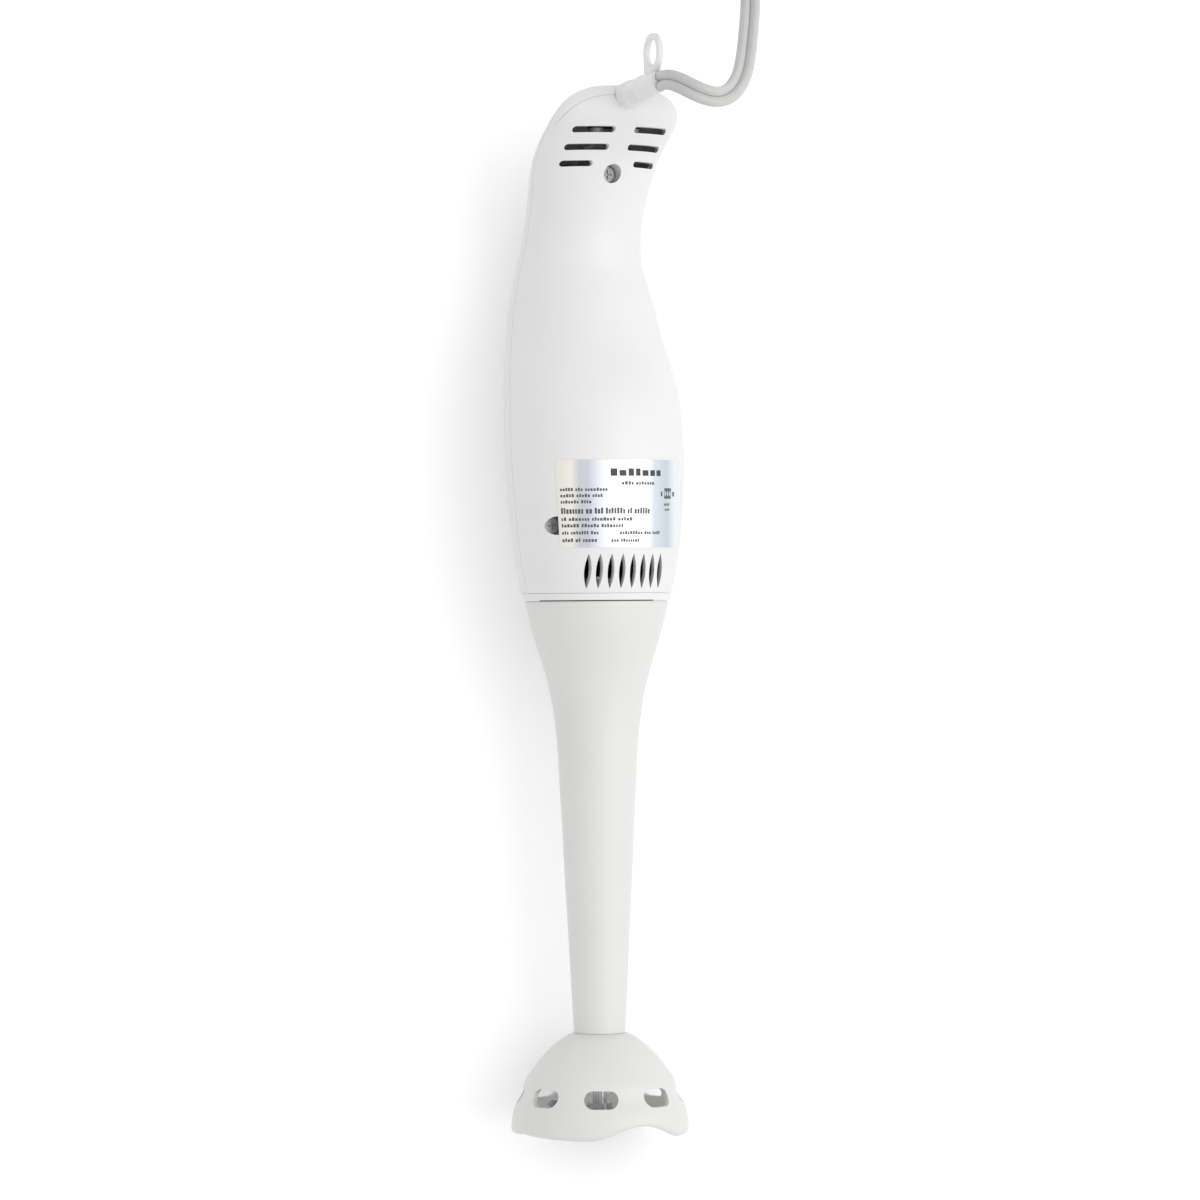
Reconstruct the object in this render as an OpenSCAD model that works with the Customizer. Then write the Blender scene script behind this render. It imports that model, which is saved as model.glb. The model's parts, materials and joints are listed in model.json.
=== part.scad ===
// Two-speed immersion blender with a detachable blending leg, lying on its
// front with the back of the handle up. The flat two-wire mains lead comes out
// of the strain relief at the head, arches over to the surface and is folded
// into a tied hank in line with the handle.
//
// Every piece is drawn in the blender's own upright frame: z runs up the drive
// axis from the foot of the bell, +y is the back of the handle, -y the buttons.
// lay() then lays it down: the row's +Y is the blender's z, the row's +Z is up.

/* [Stance] */
// Roll of the handle's back away from straight up, in degrees
roll = 23; // [0:1:30]
// Pitch that brings both the bell and the handle down to the surface, in degrees
pitch = 1.015; // [0.9:0.005:1.2]

/* [Handle] */
// Wall thickness of the two housing shells
wall = 2.3; // [1.8:0.1:2.8]
// Height of the seam between leg and handle
seam_z = 184.6; // [184.6:0.1:184.8]
// Radius of the base ring at the seam
seam_r = 25.2; // [25:0.1:25.4]
// Height of one lower air slot
slot_h = 12; // [9:0.2:12]
// Width of one lower air slot at its middle
slot_w = 2.2; // [1.6:0.1:2.6]
// Height of one upper vent slot
vent_h = 1.9; // [1.4:0.1:2.2]
// Diameter of the recesses for the housing screws
recess_d = 6.4; // [6:0.1:7]

/* [Buttons] */
// Width of a button
button_w = 11; // [9:0.5:12]
// Height of a button along the handle
button_h = 15; // [13:0.5:16]
// Gap between a button and its window
button_gap = 0.4; // [0.3:0.05:0.6]

/* [Leg] */
// Turn of the leg in its lock, against the handle, in degrees
leg_turn = 2.5; // [0:0.5:5]
// Width of one bell window
window_w = 11.7; // [9:0.1:13]
// Height of one bell window
window_h = 6.1; // [4:0.1:7]
// Height of the two arches in the bell's foot
arch_h = 4.8; // [3:0.1:6]
// Tip-to-tip span of the blade
blade_span = 46; // [40:1:48]
// Radius of the drive shaft and of the motor shaft
shaft_r = 2.5; // [2.3:0.05:2.6]
// Radial running clearance of the shafts in their bushes
run_gap = 0.05; // [0.02:0.01:0.1]

/* [Hanging loop] */
// Radius of the hole in the hanging loop
loop_r = 4.5; // [4:0.1:5]
// Thickness of the hanging loop
loop_t = 2; // [1.6:0.1:2.4]

/* [Cord] */
// Width of the flat two-wire cord
cord_w = 7; // [6.4:0.1:7.2]
// Thickness of the flat two-wire cord
cord_t = 3.5; // [3:0.1:3.6]

/* [Hidden] */

// Place of the laid-down frame in the row: the drive axis stands axis_h over
// the surface at the foot of the bell
axis_h = 30.66;
mid_x = 0.43;
mid_y = -186.64;

white = [0.93, 0.93, 0.92];
off_white = [0.89, 0.89, 0.87];

module lay() {
    translate([mid_x, mid_y, axis_h]) rotate([pitch, 0, 0])
        rotate([-90, 0, 0]) rotate([0, 0, 180 + roll]) children();
}

// Turn a piece drawn at the back (+y) by a degrees towards +x
module round_to(a) rotate([0, 0, -a]) children();

// Handle sections: height, half width, half depth, centre towards the back
body_top = 359.7;
sections = [
    [187, 25.8, 25.8, 0], [195, 27.6, 27.6, 0], [206, 29, 29, 0],
    [217.5, 30.1, 30.1, 0], [229.5, 30.8, 30.8, -0.8], [242, 31, 30.6, -1.6],
    [254, 30.4, 30.2, -3], [262.5, 29.4, 29.2, -5.6], [271, 27.9, 27.6, -8.4],
    [280, 26.3, 26, -10.4], [288.5, 24.8, 24.4, -11.8], [299, 22, 22, -13.1],
    [309, 20.4, 20.4, -11.4], [316, 20.4, 20.2, -9.1], [323, 20.6, 19.8, -5.9],
    [331.5, 21.8, 19.1, -1.9], [336.2, 22.4, 17.5, 1.8], [341.4, 22.8, 16.6, 8],
    [346.4, 23, 14, 15.8], [350, 22.7, 11, 20.6], [353.6, 19.9, 8.5, 23.5],
    [356.4, 16.5, 6, 23.2], [358.4, 11.2, 3.6, 21.7], [body_top, 3.8, 1.5, 15.9]];
inner_top = 350;

function ring(s, off, a, b, n) = [for (i = [0:n])
    let (t = a + (b - a) * i / n)
        [(s[1] - off) * cos(t), s[3] + (s[2] - off) * sin(t), s[0]]];

// Solid lofted through closed rings of k points, the same k in each ring
module loft(rings, k) {
    n = len(rings);
    pts = [for (r = rings) for (p = r) p];
    sides = [for (i = [0:n - 2]) for (j = [0:k - 1]) let (j2 = (j + 1) % k)
        for (f = [[i * k + j, (i + 1) * k + j, (i + 1) * k + j2],
                  [i * k + j, (i + 1) * k + j2, i * k + j2]]) f];
    caps = [[for (j = [0:k - 1]) j], [for (j = [k - 1:-1:0]) (n - 1) * k + j]];
    polyhedron(points = pts, faces = concat(sides, caps), convexity = 6);
}

// Half of the outer form: back is 0 to 180 degrees, front 180 to 360
module half_form(a) loft([for (s = sections) ring(s, 0, a, a + 180, 26)], 27);

module hollow() {
    low = [186, sections[0][1], sections[0][2], 0];
    full = [for (s = concat([low], [for (s = sections) if (s[0] <= inner_top) s]))
        [for (i = [0:47]) ring(s, wall, 0, 360, 48)[i]]];
    loft(full, 48);
}

// Screw posts: x, z, y of the recess floor
posts = [[22.1, 210, 12], [-22.1, 210, 12], [0, 330.4, 10]];
// the posts that take a screw; the other is a blind stop
screw_posts = [posts[0], posts[2]];

module post_front(p, foot) translate([p[0], foot, p[1]]) rotate([-90, 0, 0])
    hull() {
        cylinder(r = 3.6, h = 1, $fn = 24);
        translate([0, 0, 4 - foot - 1]) cylinder(r = 3, h = 1, $fn = 24);
    }

module lens(w, h, d) rotate([90, 0, 0]) linear_extrude(d, center = true)
    intersection() {
        r = (h * h / 4 + w * w / 4) / w;
        translate([r - w / 2, 0]) circle(r, $fn = 96);
        translate([w / 2 - r, 0]) circle(r, $fn = 96);
    }

module slot(w, h, d) rotate([90, 0, 0]) linear_extrude(d, center = true)
    hull() {
        translate([w / 2 - h / 2, 0]) circle(h / 2, $fn = 16);
        translate([h / 2 - w / 2, 0]) circle(h / 2, $fn = 16);
    }

// A tall slot with pointed ends, as two tapered halves joined at the middle
module air_slot(w, h, d) hull() {
    cube([w, d, h * 0.3], center = true);
    cube([w * 0.66, d, h * 0.68], center = true);
    cube([0.5, d, h], center = true);
}

relief_y = 29.6;
relief_z = 355.7;
relief_tilt = 4.7;
module at_relief() translate([0, relief_y, relief_z])
    rotate([relief_tilt - 90, 0, 0]) children();

module relief_pocket() at_relief()
    translate([0, 0, -11]) cylinder(r = 4.55, h = 30, $fn = 40);

// Buttons: height of the centre, y of the outer face, tilt of the face
low_button = [307, -33.9, 17];
high_button = [325.5, -25.6, 32];
module at_button(b) translate([0, b[1], b[0]]) rotate([-b[2], 0, 0]) children();
module button_form(grow, depth) rotate([-90, 0, 0]) hull() {
    r = button_w / 2 + grow;
    o = button_h / 2 - button_w / 2;
    translate([0, o, 0]) cylinder(r = r, h = depth, $fn = 32);
    translate([0, -o, 0]) cylinder(r = r, h = depth, $fn = 32);
}

module front_housing() lay() color(white) difference() {
    union() {
        difference() {
            half_form(180);
            hollow();
        }
        intersection() {
            half_form(180);
            union() {
                post_front(posts[0], -15);
                post_front(posts[1], -15);
                post_front(posts[2], -19);
                // stiffening ribs across the inside of the grip
                for (z = [272, 286]) hull() {
                    translate([-9, -38, z]) cube([18, 1, 1.6]);
                    translate([-13, -30, z]) cube([26, 1, 1.6]);
                }
                hull() {
                    translate([-9, -31, 342]) cube([18, 2, 1.6]);
                    translate([-11, 0, 342]) cube([22, 6, 1.6]);
                }
            }
        }
    }
    for (p = screw_posts) translate([p[0], -11, p[1]]) rotate([-90, 0, 0])
        cylinder(r = 1.5, h = 30, $fn = 24);
    at_button(low_button) translate([0, -4, 0]) button_form(button_gap, 14);
    at_button(high_button) translate([0, -4, 0]) button_form(button_gap, 14);
    relief_pocket();
}

module rear_housing() lay() color(white) difference() {
    union() {
        difference() {
            half_form(0);
            hollow();
        }
        // screw towers that carry the recesses
        intersection() {
            half_form(0);
            for (p = posts) translate([p[0], 4, p[1]]) rotate([-90, 0, 0])
                cylinder(r = 4.1, h = 40, $fn = 28);
        }
    }
    for (k = [0:7]) translate([27.6 * sin((k - 3.5) * 8.2), 25, 194.4])
        air_slot(slot_w, slot_h, 16);
    for (s = [-1, 1]) {
        translate([s * 10.4, 26, 344.5]) slot(13.8, vent_h, 26);
        translate([s * 10.5, 22, 339]) slot(14, vent_h, 22);
        translate([s * 12.5, 19, 333.7]) slot(9.9, vent_h, 20);
    }
    for (p = screw_posts) translate([p[0], 0, p[1]]) rotate([-90, 0, 0]) {
        translate([0, 0, -5]) cylinder(r = 1.8, h = 40, $fn = 24);
        translate([0, 0, p[2]]) cylinder(d = recess_d, h = 40, $fn = 32);
    }
    relief_pocket();
}

module base_ring() lay() color(off_white) rotate_extrude($fn = 96)
    polygon([[17, 177], [19.6, 177], [19.6, seam_z], [seam_r, seam_z],
        [25.7, 187], [22.4, 187], [22.4, 188.4], [13, 188.4], [13, 186.6],
        [17, 186.6]]);

// Foil label on the back, below the vents
label_z = 202.5;
label_h = 29.7;
function skin(z) = let (i = max([for (k = [0:4]) if (sections[k][0] <= z) k]),
    t = (z - sections[i][0]) / (sections[i + 1][0] - sections[i][0]))
    sections[i] + (sections[i + 1] - sections[i]) * t;
function label_arc(z, off, a, b) = let (s = skin(z)) [for (i = [0:24])
    let (t = a + (b - a) * i / 24)
        [(s[1] + off) * sin(t), s[3] + (s[2] + off) * cos(t), z]];
module rating_label() lay() color([0.8, 0.81, 0.82]) {
    levels = [label_z, 206, 212, 217.5, 223, 229.5, label_z + label_h];
    rings = [for (z = levels)
        concat(label_arc(z, 0.3, 48.4, -48.4), label_arc(z, 0.04, -48.4, 48.4))];
    n = len(rings);
    m = 50;
    sides = [for (i = [0:n - 2]) for (j = [0:m - 1]) let (j2 = (j + 1) % m)
        for (f = [[i * m + j, (i + 1) * m + j, (i + 1) * m + j2],
                  [i * m + j, (i + 1) * m + j2, i * m + j2]]) f];
    // the ends are closed by short quads across the foil
    top = (n - 1) * m;
    ends = [for (k = [0:23])
        for (f = [[k, k + 1, m - 2 - k, m - 1 - k],
                  [top + m - 1 - k, top + m - 2 - k, top + k + 1, top + k]]) f];
    polyhedron(points = [for (r = rings) for (q = r) q],
        faces = concat(sides, ends), convexity = 6);
}

module housing_screws() lay() color([0.7, 0.7, 0.72])
    for (p = screw_posts) translate([p[0], p[2], p[1]]) rotate([-90, 0, 0]) difference() {
        union() {
            translate([0, 0, -18]) cylinder(r = 1.45, h = 18.1, $fn = 24);
            cylinder(r = 2.7, h = 1.9, $fn = 24);
        }
        for (a = [0, 90]) rotate([0, 0, a]) translate([-1.6, -0.35, 1])
            cube([3.2, 0.7, 2]);
    }

// Tapered sleeve with two collars round the cord where it leaves the head
module strain_relief() lay() color(white) at_relief() rotate_extrude($fn = 48)
    polygon([[0, -8], [4.5, -8], [4.5, 1.6], [4.1, 2.2], [4.1, 3.4], [4.5, 4],
        [4.5, 6.4], [4, 7.2], [4.45, 14], [4.45, 16], [3.9, 17], [3.45, 27.9],
        [0, 27.9]]);

// Flat ring on top of the strain relief
loop_y = 52;
loop_z = 368.2;
module hanging_loop() lay() color([0.95, 0.95, 0.95, 0.6])
    translate([-loop_t / 2, loop_y, loop_z]) rotate([90, 0, 90]) difference() {
        union() {
            cylinder(r = 6.5, h = loop_t, $fn = 64);
            linear_extrude(loop_t)
                polygon([[-6.3, -1.5], [-5.4, -7.6], [3.4, -6.9], [6.2, -2]]);
        }
        translate([0, 0, -1]) cylinder(r = loop_r, h = loop_t + 2, $fn = 64);
    }

module cord_clamp() lay() color([0.25, 0.25, 0.26]) difference() {
    translate([-9, 16, 345.6]) cube([18, 5, 4]);
    for (s = [-1, 1]) translate([s * 6.5, 18.5, 344]) cylinder(r = 1.35, h = 8, $fn = 24);
}

module clamp_screws() lay() color([0.7, 0.7, 0.72])
    for (s = [-1, 1]) translate([s * 6.5, 18.5, 343.8]) {
        cylinder(r = 2.4, h = 1.7, $fn = 24);
        cylinder(r = 1.3, h = 6.1, $fn = 24);
    }

// Tube swept along points, with rings square to the path; the section is an
// oval w by t that turns about the path by the angles in turn
function unit(v) = v / norm(v);
function dir_at(p, i) = unit(p[min(i + 1, len(p) - 1)] - p[max(i - 1, 0)]);
function section_at(p, d, a, w, t, m) = let (
    // side is the cord's broad direction: along +Y turned by a about the path
    s0 = unit([0, 1, 0.001] - d * (d * [0, 1, 0.001])),
    n0 = cross(d, s0),
    s = s0 * cos(a) + n0 * sin(a), n = cross(d, s))
    [for (k = [0:m - 1]) let (q = 360 * k / m)
        p + s * (w / 2 * cos(q)) + n * (t / 2 * sin(q))];
module sweep(p, turns, w, t, m) loft([for (i = [0:len(p) - 1])
    let (r = section_at(p[i], dir_at(p, i), turns[i], w, t, m))
        [for (k = [0:m - 1]) r[m - 1 - k]]], m);
function plain(p) = [for (q = p) 0];

module internal_leads() lay() {
    color([0.15, 0.15, 0.16])
        sweep([[2.2, 20, 344.3], [3, 13, 342.2], [7.2, 7, 338], [8.6, 2, 333], [9, -2, 326],
            [9, -3.2, 318]], [0, 0, 0, 0, 0, 0], 2, 2, 8);
    color([0.9, 0.9, 0.88])
        sweep([[-2.2, 20, 344.3], [-3, 13, 342.2], [-7.2, 7, 338], [-8.6, 2, 333],
            [-9, -2, 326], [-9, -3.2, 318]], [0, 0, 0, 0, 0, 0], 2, 2, 8);
    color([0.15, 0.15, 0.16])
        sweep([[10, -2.8, 300], [14, -3.6, 291], [18, -7, 276], [19.5, -4, 264], [20, 0, 257]],
            [0, 0, 0, 0, 0], 2, 2, 8);
    color([0.9, 0.9, 0.88])
        sweep([[-10, -2.8, 300], [-14, -3.6, 291], [-18, -7, 276], [-19.5, -4, 264],
            [-20, 0, 257]], [0, 0, 0, 0, 0], 2, 2, 8);
}

module suppressor_capacitor() lay() color([0.85, 0.75, 0.2])
    translate([-8, -18, 276]) cube([16, 8, 11]);

module switch_board() lay() color([0.2, 0.42, 0.25])
    translate([-12, -6, 299]) cube([24, 1.6, 27]);

module switch_bodies() lay() color([0.2, 0.2, 0.22])
    for (z = [306, 320]) {
        translate([-6, -11.5, z - 5]) cube([12, 5.5, 10]);
        translate([0, -11.4, z]) rotate([90, 0, 0]) cylinder(r = 1.8, h = 2.2, $fn = 24);
    }

module button_low() lay() color([0.75, 0.76, 0.78]) {
    at_button(low_button) button_form(0, 6);
    at_button(low_button) rotate([-90, 0, 0]) cylinder(r = 2.6, h = 15.5, $fn = 24);
}

module button_high() lay() color([0.75, 0.76, 0.78]) {
    at_button(high_button) button_form(0, 6);
    at_button(high_button) rotate([-90, 0, 0]) cylinder(r = 2.6, h = 9, $fn = 24);
}

core_z = 214.2;
core_h = 25.8;

module sector(r1, r2, a, h, z) translate([0, 0, z]) rotate([0, 0, a[0]])
    rotate_extrude(angle = a[1] - a[0], $fn = 96)
        translate([r1, 0]) square([r2 - r1, h]);

module stator_core() lay() color([0.55, 0.56, 0.58]) difference() {
    translate([0, 0, core_z]) linear_extrude(core_h) difference() {
        intersection() {
            circle(24, $fn = 96);
            square([42, 50], center = true);
        }
        circle(12.5, $fn = 96);
        for (a = [45, 135, 225, 315]) rotate([0, 0, a]) translate([20.9, 0])
            circle(1.6, $fn = 24);
    }
    sector(13.6, 18.9, [-38, 38], core_h + 2, core_z - 1);
    sector(13.6, 18.9, [142, 218], core_h + 2, core_z - 1);
}

module field_coils() lay() color([0.72, 0.42, 0.22]) for (a = [0, 180])
    rotate([0, 0, a]) difference() {
        sector(14, 18.2, [12, 168], core_h + 11, core_z - 5.5);
        sector(12, 20, [34, 146], core_h + 0.6, core_z - 0.3);
    }

module lower_bracket() lay() color([0.75, 0.76, 0.78]) difference() {
    union() {
        translate([0, 0, 202.8]) cylinder(r = 7, h = 3.4, $fn = 64);
        translate([0, 0, 202.8]) cylinder(r = 24, h = 1.6, $fn = 96);
        for (a = [45, 135, 225, 315]) rotate([0, 0, a]) translate([20.9, 0, 203])
            cylinder(r = 2.6, h = core_z - 203, $fn = 32);
    }
    translate([0, 0, 200]) cylinder(r = 4.5, h = 10, $fn = 64);
    for (a = [0, 90, 180, 270]) sector(9, 19, [a + 12, a + 78], 4, 201);
    for (a = [45, 135, 225, 315]) rotate([0, 0, a]) translate([20.9, 0, 200])
        cylinder(r = 1.6, h = 20, $fn = 24);
}

module upper_bracket() lay() color([0.75, 0.76, 0.78]) difference() {
    union() {
        translate([0, 0, 257.3]) cylinder(r = 7, h = 5.3, $fn = 64);
        for (a = [45, 135]) rotate([0, 0, a])
            translate([-23.4, -4, 255.4]) cube([46.8, 8, 2]);
        for (a = [45, 135, 225, 315]) rotate([0, 0, a]) translate([20.9, 0, 240])
            cylinder(r = 2.6, h = 16, $fn = 32);
    }
    translate([0, 0, 254]) cylinder(r = 4.5, h = 12, $fn = 64);
    for (a = [45, 135, 225, 315]) rotate([0, 0, a]) translate([20.9, 0, 239])
        cylinder(r = 1.6, h = 30, $fn = 24);
}

module bush(r, z, h) translate([0, 0, z]) difference() {
    cylinder(r = r, h = h, $fn = 64);
    translate([0, 0, -1]) cylinder(r = shaft_r + run_gap, h = h + 2, $fn = 64);
}

module lower_bearing() lay() color([0.72, 0.55, 0.3]) bush(4.5, 202, 5);
module upper_bearing() lay() color([0.72, 0.55, 0.3]) bush(4.5, 258, 5);

module motor_screws() lay() color([0.6, 0.6, 0.62])
    for (a = [45, 135, 225, 315]) rotate([0, 0, a]) translate([20.9, 0, 0]) {
        translate([0, 0, 202.9]) cylinder(r = 1.5, h = 54.5, $fn = 24);
        translate([0, 0, 257.4]) cylinder(r = 2.5, h = 2, $fn = 24);
    }

module brush_holders() lay() color([0.8, 0.62, 0.3]) for (a = [0, 180])
    rotate([0, 0, a]) difference() {
        translate([9.6, -3.6, 248]) cube([13.5, 7.2, 7.2]);
        translate([9, -2.6, 249]) cube([13, 5.2, 5.2]);
    }

module carbon_brushes() lay() color([0.12, 0.12, 0.13]) for (a = [0, 180])
    rotate([0, 0, a]) translate([8.1, -2.5, 249.1]) cube([8, 5, 5]);

module brush_springs() lay() color([0.6, 0.6, 0.62]) for (a = [0, 180])
    rotate([0, 0, a]) {
        p = [for (i = [0:40]) [16.4 + 5.2 * i / 40, 1.9 * cos(i * 36), 251.6 + 1.9 * sin(i * 36)]];
        sweep(p, plain(p), 0.5, 0.5, 6);
    }

module motor_shaft() lay() color([0.7, 0.71, 0.73]) translate([0, 0, 186])
    cylinder(r = shaft_r, h = 78, $fn = 64);

module armature_core() lay() color([0.5, 0.5, 0.52])
    translate([0, 0, core_z]) linear_extrude(core_h) difference() {
        circle(11.8, $fn = 96);
        circle(shaft_r, $fn = 64);
        for (k = [0:11]) rotate([0, 0, k * 30]) translate([7, -0.9]) square([6, 1.8]);
    }

module armature_windings() lay() color([0.72, 0.42, 0.22]) {
    rotate_extrude($fn = 64) polygon([[shaft_r, 240], [10.6, 240], [10.9, 241.5],
        [10.2, 244], [6, 245.6], [shaft_r, 245.6]]);
    rotate_extrude($fn = 64) polygon([[shaft_r, 209.4], [6, 209.4], [10.2, 210.6],
        [10.9, 212.8], [10.6, core_z], [shaft_r, core_z]]);
}

module commutator() lay() color([0.75, 0.45, 0.25]) difference() {
    translate([0, 0, 246.4]) cylinder(r = 8, h = 8.2, $fn = 96);
    translate([0, 0, 246]) cylinder(r = shaft_r, h = 12, $fn = 64);
    for (k = [0:11]) rotate([0, 0, k * 30]) translate([7.2, -0.2, 248])
        cube([1, 0.4, 10]);
}

module cooling_fan() lay() color([0.2, 0.2, 0.22]) difference() {
    union() {
        translate([0, 0, 192.6]) cylinder(r = 6, h = 8.8, $fn = 64);
        translate([0, 0, 200]) cylinder(r = 21, h = 1.4, $fn = 96);
        for (k = [0:9]) rotate([0, 0, k * 36]) translate([5, -0.6, 193])
            cube([15.5, 1.2, 7.5]);
    }
    translate([0, 0, 190]) cylinder(r = shaft_r, h = 20, $fn = 64);
}

module star(r, tooth, reach) {
    circle(r, $fn = 64);
    for (k = [0:5]) rotate([0, 0, k * 60]) translate([0, -tooth / 2])
        square([reach, tooth]);
}

module drive_coupling() lay() color([0.9, 0.9, 0.88]) difference() {
    union() {
        translate([0, 0, 179]) linear_extrude(8.6) star(4.4, 2, 6.4);
        translate([0, 0, 187.4]) cylinder(r = 7.6, h = 4.6, $fn = 64);
    }
    translate([0, 0, 186]) cylinder(r = shaft_r, h = 20, $fn = 64);
}

module leg_tube() lay() color(off_white) rotate([0, 0, leg_turn])
    rotate_extrude($fn = 128) polygon([
        [3, 35.5], [8.8, 35.5], [9.8, 53.5], [10.7, 72.5], [11.7, 90.7],
        [12.4, 106.6], [13.3, 122.5], [14.1, 137.3], [15, 144.9], [16.3, 153.2],
        [18.3, 160.8], [20.6, 168.2], [23, 176.1], [24.6, 183.8], [24.3, 184.3],
        [22.2, 184.3], [20.6, 176.4], [18.3, 168.6], [17.4, 166], [7, 166],
        [7, 170], [4.5, 170], [4.5, 158], [7, 158], [7, 163], [16.3, 163],
        [14, 153.2], [12.8, 144.9], [12, 137.3], [11.2, 122.5], [10.2, 106.6],
        [9.5, 90.7], [8.5, 72.5], [7.6, 53.5], [7.2, 39], [3, 39]]);

module blade_guard() lay() color(off_white) rotate([0, 0, leg_turn]) difference() {
    rotate_extrude($fn = 128) polygon([
        [3, 35.5], [8.8, 35.5], [14.1, 32.6], [16.8, 30.4], [19.9, 27.3],
        [23.4, 23.1], [26.1, 19], [27.3, 14.1], [29, 11.4], [30.3, 7],
        [30.7, 2.2], [29.9, 0.3], [29.3, 0], [28.5, 0], [28.2, 2], [28, 7],
        [26.9, 11], [25.2, 14.1], [24.1, 18.2], [21.7, 22], [18.5, 25.8],
        [15.5, 28.6], [12.4, 30.8], [8, 32.2], [6.5, 31.6], [6.5, 16.5],
        [4.5, 16.5], [4.5, 33], [3, 33]]);
    // water windows
    for (k = [0:7]) rotate([0, 0, 20.5 + k * 45]) translate([0, 25, 14.6])
        rotate([90, 0, 0]) linear_extrude(14, center = true) {
            square([window_w - window_h, window_h], center = true);
            for (s = [-1, 1]) translate([s * (window_w - window_h) / 2, 0])
                circle(window_h / 2, $fn = 48);
        }
    // two arches in the foot, at the back and the front
    arch_r = (14 * 14 + arch_h * arch_h) / (2 * arch_h);
    translate([0, 0, arch_h - arch_r]) rotate([90, 0, 4])
        cylinder(r = arch_r, h = 80, center = true, $fn = 128);
}

module upper_bush() lay() color([0.72, 0.55, 0.3]) bush(4.5, 158.4, 11.2);
module lower_bush() lay() color([0.72, 0.55, 0.3]) bush(4.5, 22.7, 10.1);
module shaft_seal() lay() color([0.15, 0.15, 0.16]) bush(4.5, 16.7, 5.8);
module thrust_washer() lay() color([0.85, 0.85, 0.86]) translate([0, 0, 170.1])
    difference() {
        cylinder(r = 4.6, h = 0.8, $fn = 64);
        translate([0, 0, -1]) cylinder(r = shaft_r, h = 3, $fn = 64);
    }

module drive_shaft() lay() color([0.7, 0.71, 0.73]) translate([0, 0, 6])
    cylinder(r = shaft_r, h = 168, $fn = 64);

module driven_coupling() lay() color([0.15, 0.15, 0.16]) difference() {
    translate([0, 0, 171]) cylinder(r = 9, h = 14, $fn = 96);
    translate([0, 0, 177.5]) linear_extrude(10) star(4.8, 2.8, 6.9);
    translate([0, 0, 170]) cylinder(r = shaft_r, h = 4, $fn = 64);
}

module blade() lay() color([0.75, 0.76, 0.78]) rotate([0, 0, -69])
    translate([0, 0, 8]) linear_extrude(1.3) difference() {
        h = blade_span / 2;
        polygon([[-h, -2.2], [-h + 3, -4.6], [-7, -5.4], [0, -5.8], [7, -4.4],
            [h - 2, -1.2], [h, 2.2], [h - 3, 4.6], [7, 5.4], [0, 5.8], [-7, 4.4],
            [-h + 2, 1.2]]);
        circle(shaft_r, $fn = 64);
    }

module blade_hub() lay() color([0.6, 0.61, 0.63]) translate([0, 0, 9.3])
    difference() {
        cylinder(r = 4.2, h = 2, $fn = 64);
        translate([0, 0, -1]) cylinder(r = shaft_r, h = 5, $fn = 64);
    }

module blade_nut() lay() color([0.6, 0.61, 0.63]) difference() {
    translate([0, 0, 5]) cylinder(r = 4.2, h = 3, $fn = 64);
    translate([0, 0, 6]) cylinder(r = shaft_r, h = 5, $fn = 64);
}

// Route of the cord's middle, from the tip of the strain relief to the hank:
// X, Y and height over the surface, and the turn of its broad side
route = [
    [22.4, 357, 89.8, 3], [24.6, 357, 95, -10], [28, 355.6, 100.2, -19],
    [31.6, 353.4, 103.5, -13], [35.4, 351.4, 104.5, 3], [39.5, 350.2, 102.8, 4],
    [43.3, 350.8, 98.7, -17], [46.3, 353, 93, -41], [48.5, 356.3, 86.6, -57],
    [50.2, 360.3, 79.8, -68], [51.4, 365.1, 72, -76], [52.3, 370.4, 63.4, -79],
    [53.1, 376.2, 54.2, -81], [53.9, 382.7, 44, -82], [54.6, 390, 33.4, -86],
    [54.9, 398, 23, -105], [55, 407, 13.8, -140], [55, 416, 7.6, -168],
    [55, 423.5, 4.9, -180], [55, 430, 4.3, -180]];
// The last stretch, from the hank's inner run to the plug
tail = [
    [44.5, 436, 4.3, 0], [44.4, 442, 4.3, 0], [43, 448, 4.6, 0],
    [39.5, 454.5, 5.2, 0], [35.3, 460, 6.2, 0], [31.6, 465.5, 7.2, 0],
    [30, 471, 7.8, 0], [29.5, 476, 8, 0]];
hank_x = 29.5;
hank_y = 430;
hank_run = 105;
hank_in = 13.2;
hank_out = 27.3;
hank_lift = 0.8;

module on_surface() translate([mid_x, mid_y, 0]) children();

module route_tube(r, s) sweep([for (p = r) [p[0], p[1], p[2]]],
    [for (p = r) p[3] + s], cord_w, cord_t, 12);

module mains_cord() on_surface() color([0.93, 0.93, 0.91]) route_tube(route, 0);
// the tail stands on its edge: its broad side is turned up from the surface
module cord_tail() on_surface() color([0.93, 0.93, 0.91])
    sweep_up([for (p = tail) [p[0], p[1], p[2]]]);
module sweep_up(p) loft([for (i = [0:len(p) - 1]) let (d = dir_at(p, i),
    s = unit([0, 0, 1] - d * (d * [0, 0, 1])), n = cross(d, s))
        [for (k = [0:11]) let (q = -30 * k)
            p[i] + s * (cord_w / 2 * cos(q)) + n * (cord_t / 2 * sin(q))]], 12);

module stadium(r) {
    translate([hank_x, hank_y]) circle(r, $fn = 96);
    translate([hank_x, hank_y + hank_run]) circle(r, $fn = 96);
    translate([hank_x - r, hank_y]) square([2 * r, hank_run]);
}

module cord_hank() on_surface() color([0.93, 0.93, 0.91])
    translate([0, 0, hank_lift]) linear_extrude(cord_w) difference() {
        stadium(hank_out);
        stadium(hank_in);
    }

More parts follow.
